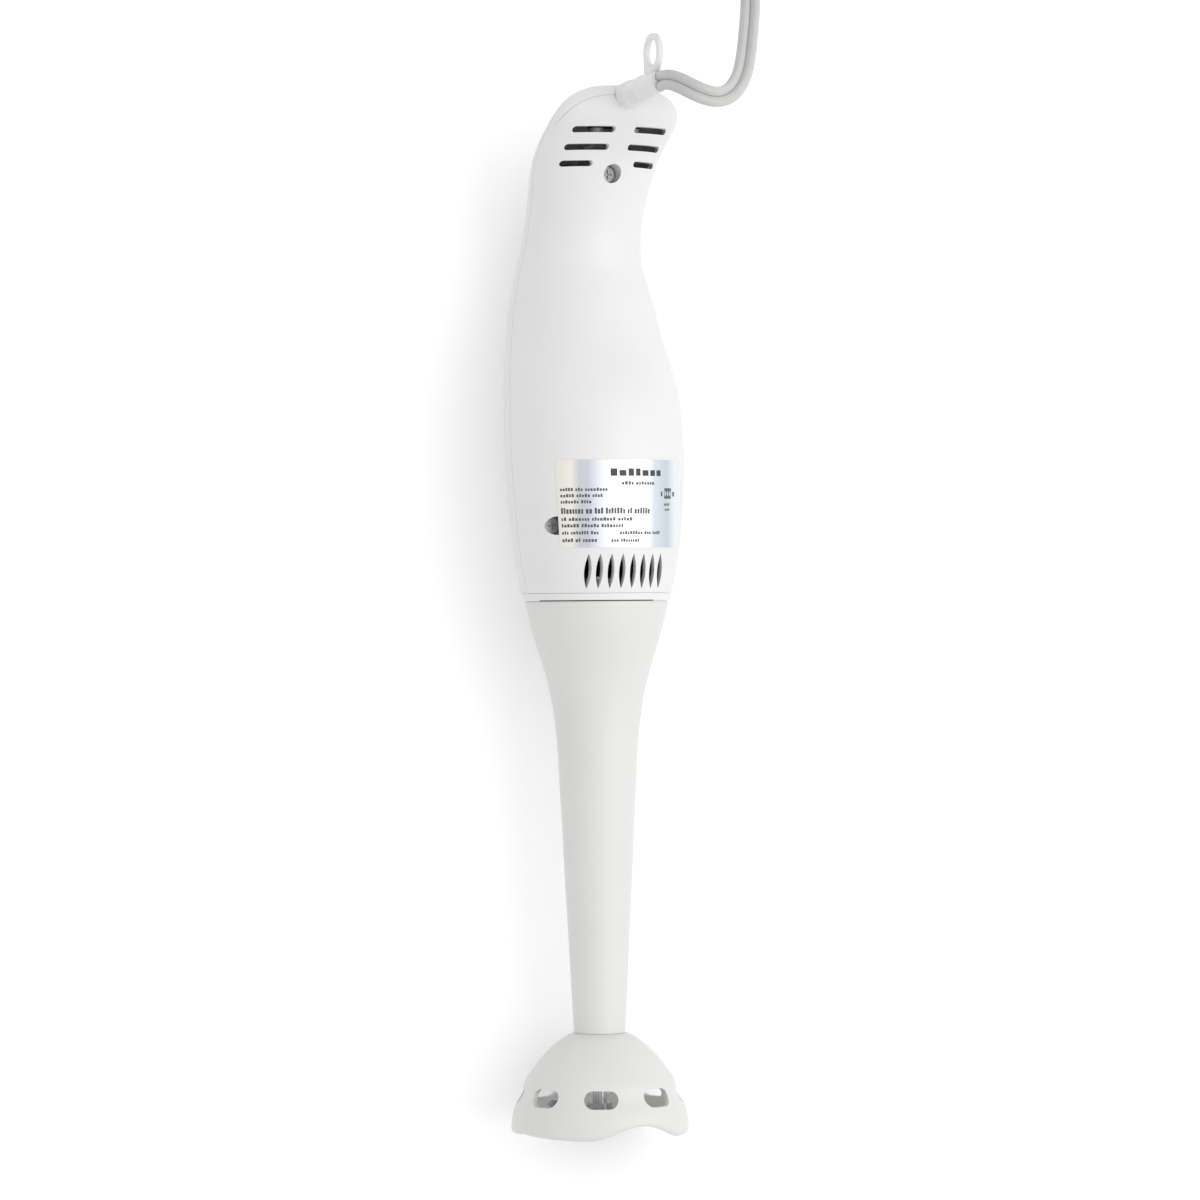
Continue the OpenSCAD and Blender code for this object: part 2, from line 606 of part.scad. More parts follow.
module hank_ties() on_surface() color([0.3, 0.3, 0.32]) for (s = [-1, 1])
    translate([hank_x + s * (hank_in + hank_out) / 2, hank_y + 55, 0])
        difference() {
            w = hank_out - hank_in + 1.4;
            translate([-w / 2, -4, 0]) cube([w, 8, cord_w + 2 * hank_lift]);
            translate([-w / 2 + 0.6, -5, hank_lift])
                cube([w - 1.2, 10, cord_w]);
        }

// Moulded two-blade plug: sleeve, body and blades, lying on the surface
plug_y = 476;
module plug_body() on_surface() color([0.93, 0.93, 0.91])
    translate([hank_x, plug_y, 8]) rotate([-90, 0, 0]) union() {
        cylinder(r1 = 4.2, r2 = 5.6, h = 14, $fn = 48);
        translate([0, 0, 13]) linear_extrude(23) {
            square([14, 15], center = true);
            square([20, 9], center = true);
            for (x = [-7, 7]) for (y = [-4.5, 4.5]) translate([x, y])
                circle(3, $fn = 32);
        }
    }

module plug_blades() on_surface() color([0.8, 0.78, 0.7])
    translate([hank_x, plug_y + 36, 8]) {
        translate([-6.35 - 0.75, 0, -3.2]) cube([1.5, 17, 6.4]);
        translate([6.35 - 0.75, 0, -3.9]) cube([1.5, 17, 7.8]);
    }

front_housing();
rear_housing();
base_ring();
rating_label();
housing_screws();
strain_relief();
hanging_loop();
cord_clamp();
clamp_screws();
internal_leads();
suppressor_capacitor();
switch_board();
switch_bodies();
stator_core();
field_coils();
lower_bracket();
upper_bracket();
lower_bearing();
upper_bearing();
motor_screws();
brush_holders();
carbon_brushes();
brush_springs();
button_low();
button_high();
motor_shaft();
armature_core();
armature_windings();
commutator();
cooling_fan();
drive_coupling();
leg_tube();
blade_guard();
upper_bush();
lower_bush();
shaft_seal();
thrust_washer();
drive_shaft();
driven_coupling();
blade();
blade_hub();
blade_nut();
mains_cord();
cord_hank();
cord_tail();
hank_ties();
plug_body();
plug_blades();
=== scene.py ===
import json
import math

import bmesh
import bpy
import numpy as np
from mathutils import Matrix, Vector


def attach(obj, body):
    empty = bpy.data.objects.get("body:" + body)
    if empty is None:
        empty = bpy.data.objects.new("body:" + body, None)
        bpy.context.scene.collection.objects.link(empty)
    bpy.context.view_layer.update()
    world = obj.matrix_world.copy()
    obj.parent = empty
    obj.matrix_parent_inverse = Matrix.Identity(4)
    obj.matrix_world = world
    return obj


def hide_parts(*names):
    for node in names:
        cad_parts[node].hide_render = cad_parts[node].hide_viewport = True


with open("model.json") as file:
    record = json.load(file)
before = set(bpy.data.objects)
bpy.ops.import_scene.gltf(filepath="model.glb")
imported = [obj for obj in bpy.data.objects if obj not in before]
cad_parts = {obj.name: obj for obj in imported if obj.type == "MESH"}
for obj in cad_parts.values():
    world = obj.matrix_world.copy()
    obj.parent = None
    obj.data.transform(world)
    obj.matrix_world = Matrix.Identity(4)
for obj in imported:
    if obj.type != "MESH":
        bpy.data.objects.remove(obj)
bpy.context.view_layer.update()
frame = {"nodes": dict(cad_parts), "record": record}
NODE = frame["nodes"]

# ---------------------------------------------------------------- the frame
ROLL, PITCH = math.radians(23), math.radians(1.015)
ORG = np.array([0.43, -186.64, 30.66])


def rot(axis, a):
    c, s = math.cos(a), math.sin(a)
    if axis == "x":
        return np.array([[1, 0, 0], [0, c, -s], [0, s, c]])
    return np.array([[c, -s, 0], [s, c, 0], [0, 0, 1]])


M = rot("x", PITCH) @ rot("x", -math.pi / 2) @ rot("z", math.pi + ROLL)


def L(p):
    """Blender's own upright frame in mm to the row frame in metres."""
    return (np.asarray(p, float) @ M.T + ORG) / 1000.0


def D(v):
    return M @ np.asarray(v, float)


# ---------------------------------------------------------------- camera
DIST = 1.75
cam_dir = D([math.sin(ROLL), math.cos(ROLL), 0])
up0 = D([0, 0, 1])
right0 = np.cross(up0, cam_dir)
ra = math.radians(0.4)
up = up0 * math.cos(ra) + right0 * math.sin(ra)
right = np.cross(up, cam_dir)
target = L([0, 0, 184.6]) + right0 * 0.0012
cd = bpy.data.cameras.new("camera")
cam = bpy.data.objects.new("camera", cd)
bpy.context.scene.collection.objects.link(cam)
cd.sensor_width = 36.0
cd.lens = 152.2
cd.clip_start, cd.clip_end = 0.05, 20
from mathutils import Matrix

cam.matrix_world = Matrix(
    [
        [right[0], up[0], cam_dir[0], target[0] + cam_dir[0] * DIST],
        [right[1], up[1], cam_dir[1], target[1] + cam_dir[1] * DIST],
        [right[2], up[2], cam_dir[2], target[2] + cam_dir[2] * DIST],
        [0, 0, 0, 1],
    ]
)
bpy.context.scene.camera = cam
bpy.context.scene.view_settings.view_transform = "Standard"


# ---------------------------------------------------------------- materials
def nodes_of(name):
    m = bpy.data.materials.new(name)
    m.use_nodes = True
    nt = m.node_tree
    b = nt.nodes["Principled BSDF"]
    return m, nt, b


def noise(nt, scale, detail=3.0, rough=0.5, stretch=None):
    tc = nt.nodes.new("ShaderNodeTexCoord")
    n = nt.nodes.new("ShaderNodeTexNoise")
    n.inputs["Scale"].default_value = scale
    n.inputs["Detail"].default_value = detail
    n.inputs["Roughness"].default_value = rough
    if stretch:
        mp = nt.nodes.new("ShaderNodeMapping")
        mp.inputs["Scale"].default_value = stretch
        nt.links.new(tc.outputs["Object"], mp.inputs["Vector"])
        nt.links.new(mp.outputs["Vector"], n.inputs["Vector"])
    else:
        nt.links.new(tc.outputs["Object"], n.inputs["Vector"])
    return n


def ramp(nt, fac, c0, c1, p0=0.3, p1=0.7):
    r = nt.nodes.new("ShaderNodeValToRGB")
    r.color_ramp.elements[0].position, r.color_ramp.elements[1].position = p0, p1
    r.color_ramp.elements[0].color = (*c0, 1)
    r.color_ramp.elements[1].color = (*c1, 1)
    nt.links.new(fac, r.inputs["Fac"])
    return r


def span(nt, fac, lo, hi):
    m = nt.nodes.new("ShaderNodeMapRange")
    m.inputs["From Min"].default_value, m.inputs["From Max"].default_value = 0.3, 0.7
    m.inputs["To Min"].default_value, m.inputs["To Max"].default_value = lo, hi
    nt.links.new(fac, m.inputs["Value"])
    return m


def plain(name, col, rough, vary=0.02, scale=60, bump=0.02, bscale=1800,
          metal=0.0, stretch=None, coat=0.0, ior=1.5, spec=0.5, sss=0.0, rvary=0.05):
    """A moulded or machined surface: mottled colour, uneven gloss, fine bump."""
    m, nt, b = nodes_of(name)
    n = noise(nt, scale, 4.0, 0.55, stretch)
    c0 = [max(0, c * (1 - vary)) for c in col]
    c1 = [min(1, c * (1 + vary)) for c in col]
    nt.links.new(ramp(nt, n.outputs["Fac"], c0, c1).outputs["Color"], b.inputs["Base Color"])
    n2 = noise(nt, scale * 4, 3.0, 0.6, stretch)
    nt.links.new(span(nt, n2.outputs["Fac"], rough - rvary, rough + rvary).outputs["Result"], b.inputs["Roughness"])
    b.inputs["Metallic"].default_value = metal
    b.inputs["IOR"].default_value = ior
    b.inputs["Specular IOR Level"].default_value = spec
    if coat:
        b.inputs["Coat Weight"].default_value = coat
        b.inputs["Coat Roughness"].default_value = 0.12
    if sss:
        b.inputs["Subsurface Weight"].default_value = sss
        b.inputs["Subsurface Scale"].default_value = 0.004
    if bump:
        n3 = noise(nt, bscale, 2.0, 0.5, stretch)
        bp = nt.nodes.new("ShaderNodeBump")
        bp.inputs["Strength"].default_value = bump
        bp.inputs["Distance"].default_value = 0.0002
        nt.links.new(n3.outputs["Fac"], bp.inputs["Height"])
        nt.links.new(bp.outputs["Normal"], b.inputs["Normal"])
    return m


MAT = {
    "housing_plastic": plain("white_abs", (0.636, 0.636, 0.634), 0.42, 0.012, 45, 0.05, 2200, coat=0.04, rvary=0.04),
    "leg_plastic": plain("leg_abs", (0.575, 0.575, 0.567), 0.42, 0.014, 45, 0.05, 2200, coat=0.04, rvary=0.04),
    # darker copy of the leg plastic: painted shade for the inside of the bell
    "leg_inside_painted_shade": plain("leg_abs_inside_painted_shade", (0.42, 0.42, 0.41), 0.5, 0.03, 45, 0.05, 2200),
    # grey for the seam tube: painted shade of the gap between the shells
    "parting_gap_painted_shade": plain("parting_gap_painted_shade", (0.46, 0.46, 0.46), 0.6, 0.05, 200, 0.05, 2200),
    "label_foil": plain("label_foil", (0.80, 0.81, 0.82), 0.30, 0.05, 30, 0.06, 1500, metal=0.75, stretch=(1, 0.15, 1)),
    "label_print": plain("label_print", (0.03, 0.03, 0.032), 0.5, 0.1, 900, 0.02, 2500),
    "label_print_soft": plain("label_print_soft", (0.07, 0.07, 0.075), 0.5, 0.1, 900, 0.02, 2500),
    # dull zinc-plated steel, its tone lowered as painted shade for the screws down in their recesses
    "screw_steel": plain("zinc_steel_painted_shade", (0.50, 0.50, 0.51), 0.5, 0.06, 300, 0.1, 3000, metal=0.35),
    "loop_plastic": None,
    "dark_plastic": plain("black_plastic", (0.025, 0.025, 0.027), 0.55, 0.2, 120, 0.1, 2600),
    "lead_insulation": plain("lead_insulation", (0.35, 0.35, 0.36), 0.5, 0.05, 200, 0.05),
    "capacitor_plastic": plain("capacitor_shell", (0.62, 0.48, 0.08), 0.45, 0.05, 150, 0.05),
    "board_laminate": plain("board_laminate", (0.05, 0.16, 0.07), 0.45, 0.15, 300, 0.1, 900),
    "lamination_steel": plain("laminations", (0.32, 0.33, 0.34), 0.42, 0.1, 200, 0.4, 1400, metal=0.9, stretch=(1, 12, 1)),
    "copper": plain("enamelled_copper", (0.62, 0.26, 0.11), 0.3, 0.12, 300, 0.5, 1300, metal=0.85, stretch=(1, 6, 1)),
    "bracket_aluminium": plain("cast_aluminium", (0.62, 0.63, 0.64), 0.45, 0.06, 250, 0.25, 1800, metal=0.95),
    "bush_bronze": plain("sintered_bronze", (0.52, 0.33, 0.14), 0.42, 0.12, 500, 0.3, 3000, metal=0.95),
    "brass": plain("brass", (0.72, 0.5, 0.2), 0.28, 0.06, 250, 0.1, 2000, metal=1.0),
    "carbon": plain("carbon", (0.02, 0.02, 0.02), 0.7, 0.3, 600, 0.3, 2500),
    "button_plastic": plain("button_plastic", (0.42, 0.43, 0.45), 0.5, 0.04, 150, 0.35, 1500),
    "shaft_steel": plain("ground_steel", (0.56, 0.56, 0.57), 0.22, 0.05, 250, 0.12, 1800, metal=1.0, stretch=(6, 1, 6)),
    # darker copy of the shaft steel: painted shade for the blade inside the bell
    "blade_steel_painted_shade": plain("blade_steel_painted_shade", (0.27, 0.27, 0.28), 0.36, 0.06, 250, 0.12, 1800, metal=0.6, stretch=(6, 1, 6)),
    "coupling_plastic": plain("acetal", (0.75, 0.75, 0.72), 0.4, 0.03, 100, 0.08),
    "seal_rubber": plain("nitrile", (0.03, 0.03, 0.032), 0.65, 0.2, 300, 0.2, 1800),
    "cord_pvc": plain("cord_pvc", (0.43, 0.43, 0.425), 0.40, 0.03, 140, 0.12, 1600, coat=0.1),
    # darker grey for the groove between the two cores: painted shade in the crease
    "cord_groove_painted_shade": plain("cord_groove_painted_shade", (0.25, 0.25, 0.25), 0.5, 0.03, 140, 0.12, 1600),
    "tie_plastic": plain("tie_plastic", (0.60, 0.60, 0.58), 0.5, 0.04, 200, 0.1, 1500),
    "blade_brass": plain("plated_brass", (0.68, 0.64, 0.55), 0.25, 0.05, 250, 0.1, 2000, metal=1.0),
}

m, nt, b = nodes_of("foil_bands")
tc = nt.nodes.new("ShaderNodeTexCoord")
sx = nt.nodes.new("ShaderNodeSeparateXYZ")
nt.links.new(tc.outputs["Object"], sx.inputs["Vector"])
mr = nt.nodes.new("ShaderNodeMapRange")
mr.inputs["From Min"].default_value, mr.inputs["From Max"].default_value = -0.0118, 0.0273
nt.links.new(sx.outputs["X"], mr.inputs["Value"])
cr = nt.nodes.new("ShaderNodeValToRGB")
bands = [(0.0, (0.69, 0.67, 0.61)), (0.10, (0.73, 0.71, 0.65)), (0.17, (0.50, 0.51, 0.56)), (0.25, (0.48, 0.50, 0.56)),
         (0.34, (0.65, 0.66, 0.70)), (0.46, (0.81, 0.81, 0.83)), (0.74, (0.85, 0.85, 0.87)), (0.82, (0.55, 0.60, 0.65)),
         (0.93, (0.42, 0.48, 0.53)), (1.0, (0.64, 0.66, 0.68))]
cr.color_ramp.elements[0].position, cr.color_ramp.elements[0].color = bands[0][0], (*bands[0][1], 1)
cr.color_ramp.elements[1].position, cr.color_ramp.elements[1].color = bands[-1][0], (*bands[-1][1], 1)
for p_, c_ in bands[1:-1]:
    cr.color_ramp.elements.new(p_).color = (*c_, 1)
nt.links.new(mr.outputs["Result"], cr.inputs["Fac"])
nt.links.new(cr.outputs["Color"], b.inputs["Base Color"])
n = noise(nt, 40, 2.0)
nt.links.new(span(nt, n.outputs["Fac"], 0.24, 0.34).outputs["Result"], b.inputs["Roughness"])
b.inputs["Metallic"].default_value = 0.25
MAT["label_foil"] = m

m, nt, b = nodes_of("loop_translucent")
n = noise(nt, 90, 3.0)
nt.links.new(ramp(nt, n.outputs["Fac"], (0.74, 0.74, 0.74), (0.80, 0.80, 0.80)).outputs["Color"], b.inputs["Base Color"])
nt.links.new(span(nt, n.outputs["Fac"], 0.28, 0.38).outputs["Result"], b.inputs["Roughness"])
b.inputs["Transmission Weight"].default_value = 0.3
b.inputs["IOR"].default_value = 1.49
MAT["loop_plastic"] = m


# ---------------------------------------------------------------- mesh help
def piece(name, verts, faces, slot, body, nodes, local=True, smooth=True, mats=None):
    v = np.asarray(verts, float)
    v = L(v) if local else v
    me = bpy.data.meshes.new(name)
    me.from_pydata([tuple(p) for p in v], [], [tuple(f) for f in faces])
    me.validate()
    bm = bmesh.new()
    bm.from_mesh(me)
    bmesh.ops.recalc_face_normals(bm, faces=bm.faces)
    bm.to_mesh(me)
    bm.free()
    ob = bpy.data.objects.new(name, me)
    bpy.context.scene.collection.objects.link(ob)
    me.polygons.foreach_set("use_smooth", [smooth] * len(me.polygons))
    for k in mats or [slot]:
        me.materials.append(MAT[k])
    if body:
        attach(ob, body)
        if nodes:
            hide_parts(*nodes)
    return ob


def sharpen(ob, deg=35):
    """Marks edges over deg as sharp, so flats stay flat and rounds stay round."""
    bm = bmesh.new()
    bm.from_mesh(ob.data)
    lim = math.radians(deg)
    for e in bm.edges:
        e.smooth = not (len(e.link_faces) == 2 and e.calc_face_angle(0) > lim)
    bm.to_mesh(ob.data)
    bm.free()


def apply_all(ob):
    dg = bpy.context.evaluated_depsgraph_get()
    ev = ob.evaluated_get(dg)
    me = bpy.data.meshes.new_from_object(ev, depsgraph=dg)
    old = ob.data
    ob.modifiers.clear()
    ob.data = me
    bpy.data.meshes.remove(old)


def cut(ob, cutters, op="DIFFERENCE", solver="EXACT"):
    """Boolean with all cutters joined in one mesh, applied."""
    bm = bmesh.new()
    for v, f in cutters:
        vs = [bm.verts.new(tuple(p)) for p in L(v)]
        for face in f:
            bm.faces.new([vs[i] for i in face])
    bmesh.ops.recalc_face_normals(bm, faces=bm.faces)
    me = bpy.data.meshes.new("cutter")
    bm.to_mesh(me)
    bm.free()
    c = bpy.data.objects.new("cutter", me)
    bpy.context.scene.collection.objects.link(c)
    md = ob.modifiers.new("b", "BOOLEAN")
    md.operation, md.solver, md.object = op, solver, c
    if solver == "EXACT":
        md.use_self = True
    apply_all(ob)
    bpy.data.objects.remove(c)
    bpy.data.meshes.remove(me)


def loft(rings, cap=True, close=False):
    """Vertices and faces through closed rings with the same count."""
    n, k = len(rings), len(rings[0])
    v = [p for r in rings for p in r]
    f = []
    for i in range(n if close else n - 1):
        i2 = (i + 1) % n
        for j in range(k):
            j2 = (j + 1) % k
            f.append((i * k + j, i * k + j2, i2 * k + j2, i2 * k + j))
    if cap and not close:
        f.append(tuple(range(k))[::-1])
        f.append(tuple((n - 1) * k + j for j in range(k)))
    return v, f


def lathe(profile, n=128, turn=0.0):
    """Closed (r, z) outline revolved about z."""
    rings = []
    for i in range(n):
        a = 2 * math.pi * i / n + turn
        rings.append([(r * math.cos(a), r * math.sin(a), z) for r, z in profile])
    return loft(rings, close=True)


def rounded(pts, rad, seg=5):
    """Outline with its corners rounded; rad is one value or one per point."""
    out = []
    n = len(pts)
    for i in range(n):
        p0, p1, p2 = (np.array(pts[(i + k - 1) % n][:2], float) for k in range(3))
        r = rad[i] if isinstance(rad, (list, tuple)) else rad
        a, b = p0 - p1, p2 - p1
        la, lb = np.linalg.norm(a), np.linalg.norm(b)
        cosang = float(np.clip(np.dot(a, b) / (la * lb), -1, 1))
        ang = math.acos(cosang)
        if r <= 0 or ang > math.radians(172):
            out.append(tuple(p1))
            continue
        d = min(r / math.tan(ang / 2), la * 0.45, lb * 0.45)
        s, e = p1 + a / la * d, p1 + b / lb * d
        for k in range(seg + 1):
            t = k / seg
            out.append(tuple((1 - t) ** 2 * s + 2 * t * (1 - t) * p1 + t * t * e))
    return out


def hermite(x, y, xs):
    """Smooth interpolation with finite-difference slopes on uneven x."""
    x, y, xs = np.asarray(x, float), np.asarray(y, float), np.asarray(xs, float)
    h = np.diff(x)
    s = np.diff(y, axis=0) / (h[:, None] if y.ndim > 1 else h)
    m_ = np.zeros_like(y)
    w0, w1 = h[1:], h[:-1]
    if y.ndim > 1:
        w0, w1 = w0[:, None], w1[:, None]
    m_[1:-1] = (w0 * s[:-1] + w1 * s[1:]) / (w0 + w1)
    m_[0], m_[-1] = s[0], s[-1]
    i = np.clip(np.searchsorted(x, xs, side="right") - 1, 0, len(x) - 2)
    t = (xs - x[i]) / h[i]
    hh = h[i]
    if y.ndim > 1:
        t, hh = t[:, None], hh[:, None]
    return ((2 * t**3 - 3 * t**2 + 1) * y[i] + (t**3 - 2 * t**2 + t) * hh * m_[i]
            + (-2 * t**3 + 3 * t**2) * y[i + 1] + (t**3 - t**2) * hh * m_[i + 1])


def unit(v):
    v = np.asarray(v, float)
    return v / np.linalg.norm(v)


# ---------------------------------------------------------------- the cord
# Points in mm: X and Y in the laid frame before its shift, height over the surface
ROUTE = [
    [22.4, 357, 89.8, 3], [24.6, 357, 95, -10], [28, 355.6, 100.2, -19],
    [31.6, 353.4, 103.5, -13], [35.4, 351.4, 104.5, 3], [39.5, 350.2, 102.8, 4],
    [43.3, 350.8, 98.7, -17], [46.3, 353, 93, -41], [48.5, 356.3, 86.6, -57],
    [50.2, 360.3, 79.8, -68], [51.4, 365.1, 72, -76], [52.3, 370.4, 63.4, -79],
    [53.1, 376.2, 54.2, -81], [53.9, 382.7, 44, -82], [54.6, 390, 33.4, -86],
    [54.9, 398, 23, -105], [55, 407, 13.8, -140], [55, 416, 7.6, -168],
    [55, 423.5, 4.9, -180], [55, 430, 4.3, -180]]
TAIL = [
    [44.5, 436, 4.3], [44.4, 442, 4.3], [43, 448, 4.6], [39.5, 454.5, 5.2],
    [35.3, 460, 6.2], [31.6, 465.5, 7.2], [30, 471, 7.8], [29.5, 476, 8]]
HX, HY, RUN = 29.5, 430.0, 105.0
CORD_W, CORD_T = 7.0, 3.5


def stadium(u):
    """Point of the wound hank at turn u, counted from the outer right run."""
    r = 25.5 - 3.5 * u
    per = 2 * RUN + 2 * math.pi * r
    s = (u % 1.0) * per
    if s < RUN:
        return [HX + r, HY + s, 4.3]
    s -= RUN
    if s < math.pi * r:
        a = s / r
        return [HX + r * math.cos(a), HY + RUN + r * math.sin(a), 4.3]
    s -= math.pi * r
    if s < RUN:
        return [HX - r, HY + RUN - s, 4.3]
    a = (s - RUN) / r
    return [HX - r * math.cos(a), HY - r * math.sin(a), 4.3]


def route_sides(pts):
    out = []
    for i, q in enumerate(pts):
        p = np.array(q[:3])
        a, c = np.array(pts[max(i - 1, 0)][:3]), np.array(pts[min(i + 1, len(pts) - 1)][:3])
        d = unit(c - a)
        y = np.array([0, 1, 0.001])
        s0 = unit(y - d * np.dot(d, y))
        n0 = np.cross(d, s0)
        t = math.radians(q[3])
        out.append(s0 * math.cos(t) + n0 * math.sin(t))
    return out


rp = np.array([q[:3] for q in ROUTE])
rs = np.array(route_sides(ROUTE))
rs[-1] = rs[-2] = [0, 0, -1]
hank = [stadium(u) for u in np.arange(0.012, 3.012, 0.006)]
hp = np.array(hank)
tp = np.array(TAIL)
ctrl = np.concatenate([rp, hp, tp[0:]])
side = np.concatenate([rs, np.tile([0, 0, -1.0], (len(hp) + len(tp), 1))])
keep = [0]
for i in range(1, len(ctrl)):
    if np.linalg.norm(ctrl[i] - ctrl[keep[-1]]) > 1.5:
        keep.append(i)
ctrl, side = ctrl[keep], side[keep]
cum = np.concatenate([[0], np.cumsum(np.linalg.norm(np.diff(ctrl, axis=0), axis=1))])
ss = np.arange(0, cum[-1], 1.6)
ss = np.append(ss[:-1], cum[-1])
path = hermite(cum, ctrl, ss)
sides = hermite(cum, side, ss)
for _ in range(3):
    path[1:-1] = (path[:-2] + 2 * path[1:-1] + path[2:]) / 4
SHIFT = np.array([ORG[0], ORG[1], 0.0])

# twin-core outline: two round cores with a groove between
prof = []
rr = CORD_T / 2
off = CORD_W / 2 - rr
for k in range(28):
    a = 2 * math.pi * k / 28
    x, y = math.cos(a), math.sin(a)
    best = 0.0
    for c in (-off, off):
        # ray from the middle to the circle round core c
        bq = x * c
        dd = bq * bq - (c * c - rr * rr)
        if dd >= 0:
            best = max(best, bq + math.sqrt(dd))
    web = 0.85 / max(abs(y), 1e-6)
    if best < 1e-6 or abs(x * best) < 0.6:
        best = max(best, min(web, 1.3))
    prof.append((x * best, y * best))
rings = []
for i in range(len(path)):
    d = unit(path[min(i + 1, len(path) - 1)] - path[max(i - 1, 0)])
    s = unit(sides[i] - d * np.dot(d, sides[i]))
    nrm = np.cross(d, s)
    c = path[i] + SHIFT
    rings.append([c + s * (w * 0.985) + nrm * (t * 0.985) for w, t in prof])
v, f = loft([[tuple(p / 1000.0) for p in r] for r in rings])
cord = piece("mains_lead", v, f, "cord_pvc", "handle", ["mains_cord", "cord_hank", "cord_tail"], local=False,
             mats=["cord_pvc", "cord_groove_painted_shade"])
# faces along the groove between the two cores take the darker second material: painted shade
for p in cord.data.polygons:
    ks = [i % len(prof) for i in p.vertices]
    if len(ks) == 4 and (all(6 <= k <= 8 for k in ks) or all(20 <= k <= 22 for k in ks)):
        p.material_index = 1


def box_ring(w, h, r, n=6):
    """Rounded rectangle outline."""
    out = []
    for cx, cy, a0 in ((w - r, h - r, 0), (-(w - r), h - r, 90), (-(w - r), -(h - r), 180), (w - r, -(h - r), 270)):
        for k in range(n + 1):
            a = math.radians(a0 + 90 * k / n)
            out.append((cx + r * math.cos(a), cy + r * math.sin(a)))
    return out


PLUG = SHIFT + np.array([HX, 476.0, 8.0])
rings = []
# sleeve with ribs, then the body
for y, w, h, r in [
    (0, 4.0, 3.4, 3.3), (0.4, 4.3, 3.8, 3.7), (2.2, 4.4, 3.9, 3.8), (2.5, 3.9, 3.4, 3.3), (3.3, 3.9, 3.4, 3.3),
    (3.6, 4.6, 4.1, 4.0), (5.4, 4.7, 4.2, 4.1), (5.7, 4.1, 3.6, 3.5), (6.5, 4.1, 3.6, 3.5), (6.8, 4.9, 4.4, 4.3),
    (8.6, 5.0, 4.5, 4.4), (8.9, 4.4, 3.9, 3.8), (9.7, 4.4, 3.9, 3.8), (10.0, 5.2, 4.7, 4.5), (12.2, 5.4, 4.9, 4.6),
    (13.0, 6.6, 5.6, 4.4), (14.2, 8.4, 6.6, 4.2), (15.6, 9.3, 7.1, 4.0), (18, 9.6, 7.2, 3.9), (22, 9.2, 6.6, 3.8),
    (26, 9.1, 6.4, 3.8), (30, 9.6, 7.0, 3.6), (33.6, 9.9, 7.4, 3.4), (35.2, 9.85, 7.35, 3.3), (35.8, 9.5, 7.0, 3.1), (36, 9.0, 6.5, 2.9)]:
    rings.append([tuple((PLUG + np.array([x, y, z])) / 1000) for x, z in box_ring(w, h, r)])
v, f = loft(rings)
plug = piece("plug_moulding", v, f, "cord_pvc", "handle", ["plug_body"], local=False)
sharpen(plug, 50)


def blade_tab(x, hw):
    out = []
    for y, w, t in [(0, hw, 0.75), (13.5, hw, 0.75), (15.6, hw * 0.8, 0.7), (16.8, hw * 0.6, 0.45), (17.0, hw * 0.5, 0.3)]:
        out.append([tuple((PLUG + np.array([x + a, 36 + y, c])) / 1000) for a, c in box_ring(t, w, min(0.25, t * 0.5), 2)])
    return loft(out)


va, fa = blade_tab(-6.35, 3.2)
vb, fb = blade_tab(6.35, 3.9)
v = list(va) + list(vb)
f = list(fa) + [tuple(i + len(va) for i in q) for q in fb]
tabs = piece("plug_pins", v, f, "blade_brass", "handle", ["plug_blades"], local=False)
sharpen(tabs, 30)

# ties round the four strands of each run
vs, fs = [], []
for sx in (-1, 1):
    cx = HX + sx * 20.25
    for y0, y1, infl in ((481.2, 488.8, 0.0),):
        rings = []
        for y in (y0, y0 + 0.5, y0 + 1.5, (y0 + y1) / 2, y1 - 1.5, y1 - 0.5, y1):
            e = 0.25 if y in (y0, y1) else 0.0
            o = [(cx + a * (7.75 - e) / 7.75, 4.3 + c) for a, c in box_ring(7.75, 4.3 - e, 1.6, 6)]
            i_ = [(cx + a, 4.3 + c) for a, c in box_ring(7.1, 3.62, 1.1, 6)]
            rings.append((o, i_, y))
        base = len(vs)
        k = len(rings[0][0])
        for o, i_, y in rings:
            vs += [tuple((np.array([a, y, c]) + SHIFT) / 1000) for a, c in o]
            vs += [tuple((np.array([a, y, c]) + SHIFT) / 1000) for a, c in i_]
        for q in range(len(rings) - 1):
            for j in range(k):
                j2 = (j + 1) % k
                a0 = base + q * 2 * k
                a1 = a0 + 2 * k
                fs.append((a0 + j, a0 + j2, a1 + j2, a1 + j))
                fs.append((a0 + k + j, a1 + k + j, a1 + k + j2, a0 + k + j2))
        for a0, flip in ((base, False), (base + (len(rings) - 1) * 2 * k, True)):
            for j in range(k):
                j2 = (j + 1) % k
                q = (a0 + j, a0 + k + j, a0 + k + j2, a0 + j2)
                fs.append(q[::-1] if flip else q)
ties = piece("hank_bands", vs, fs, "tie_plastic", "handle", ["hank_ties"], local=False)
sharpen(ties, 50)

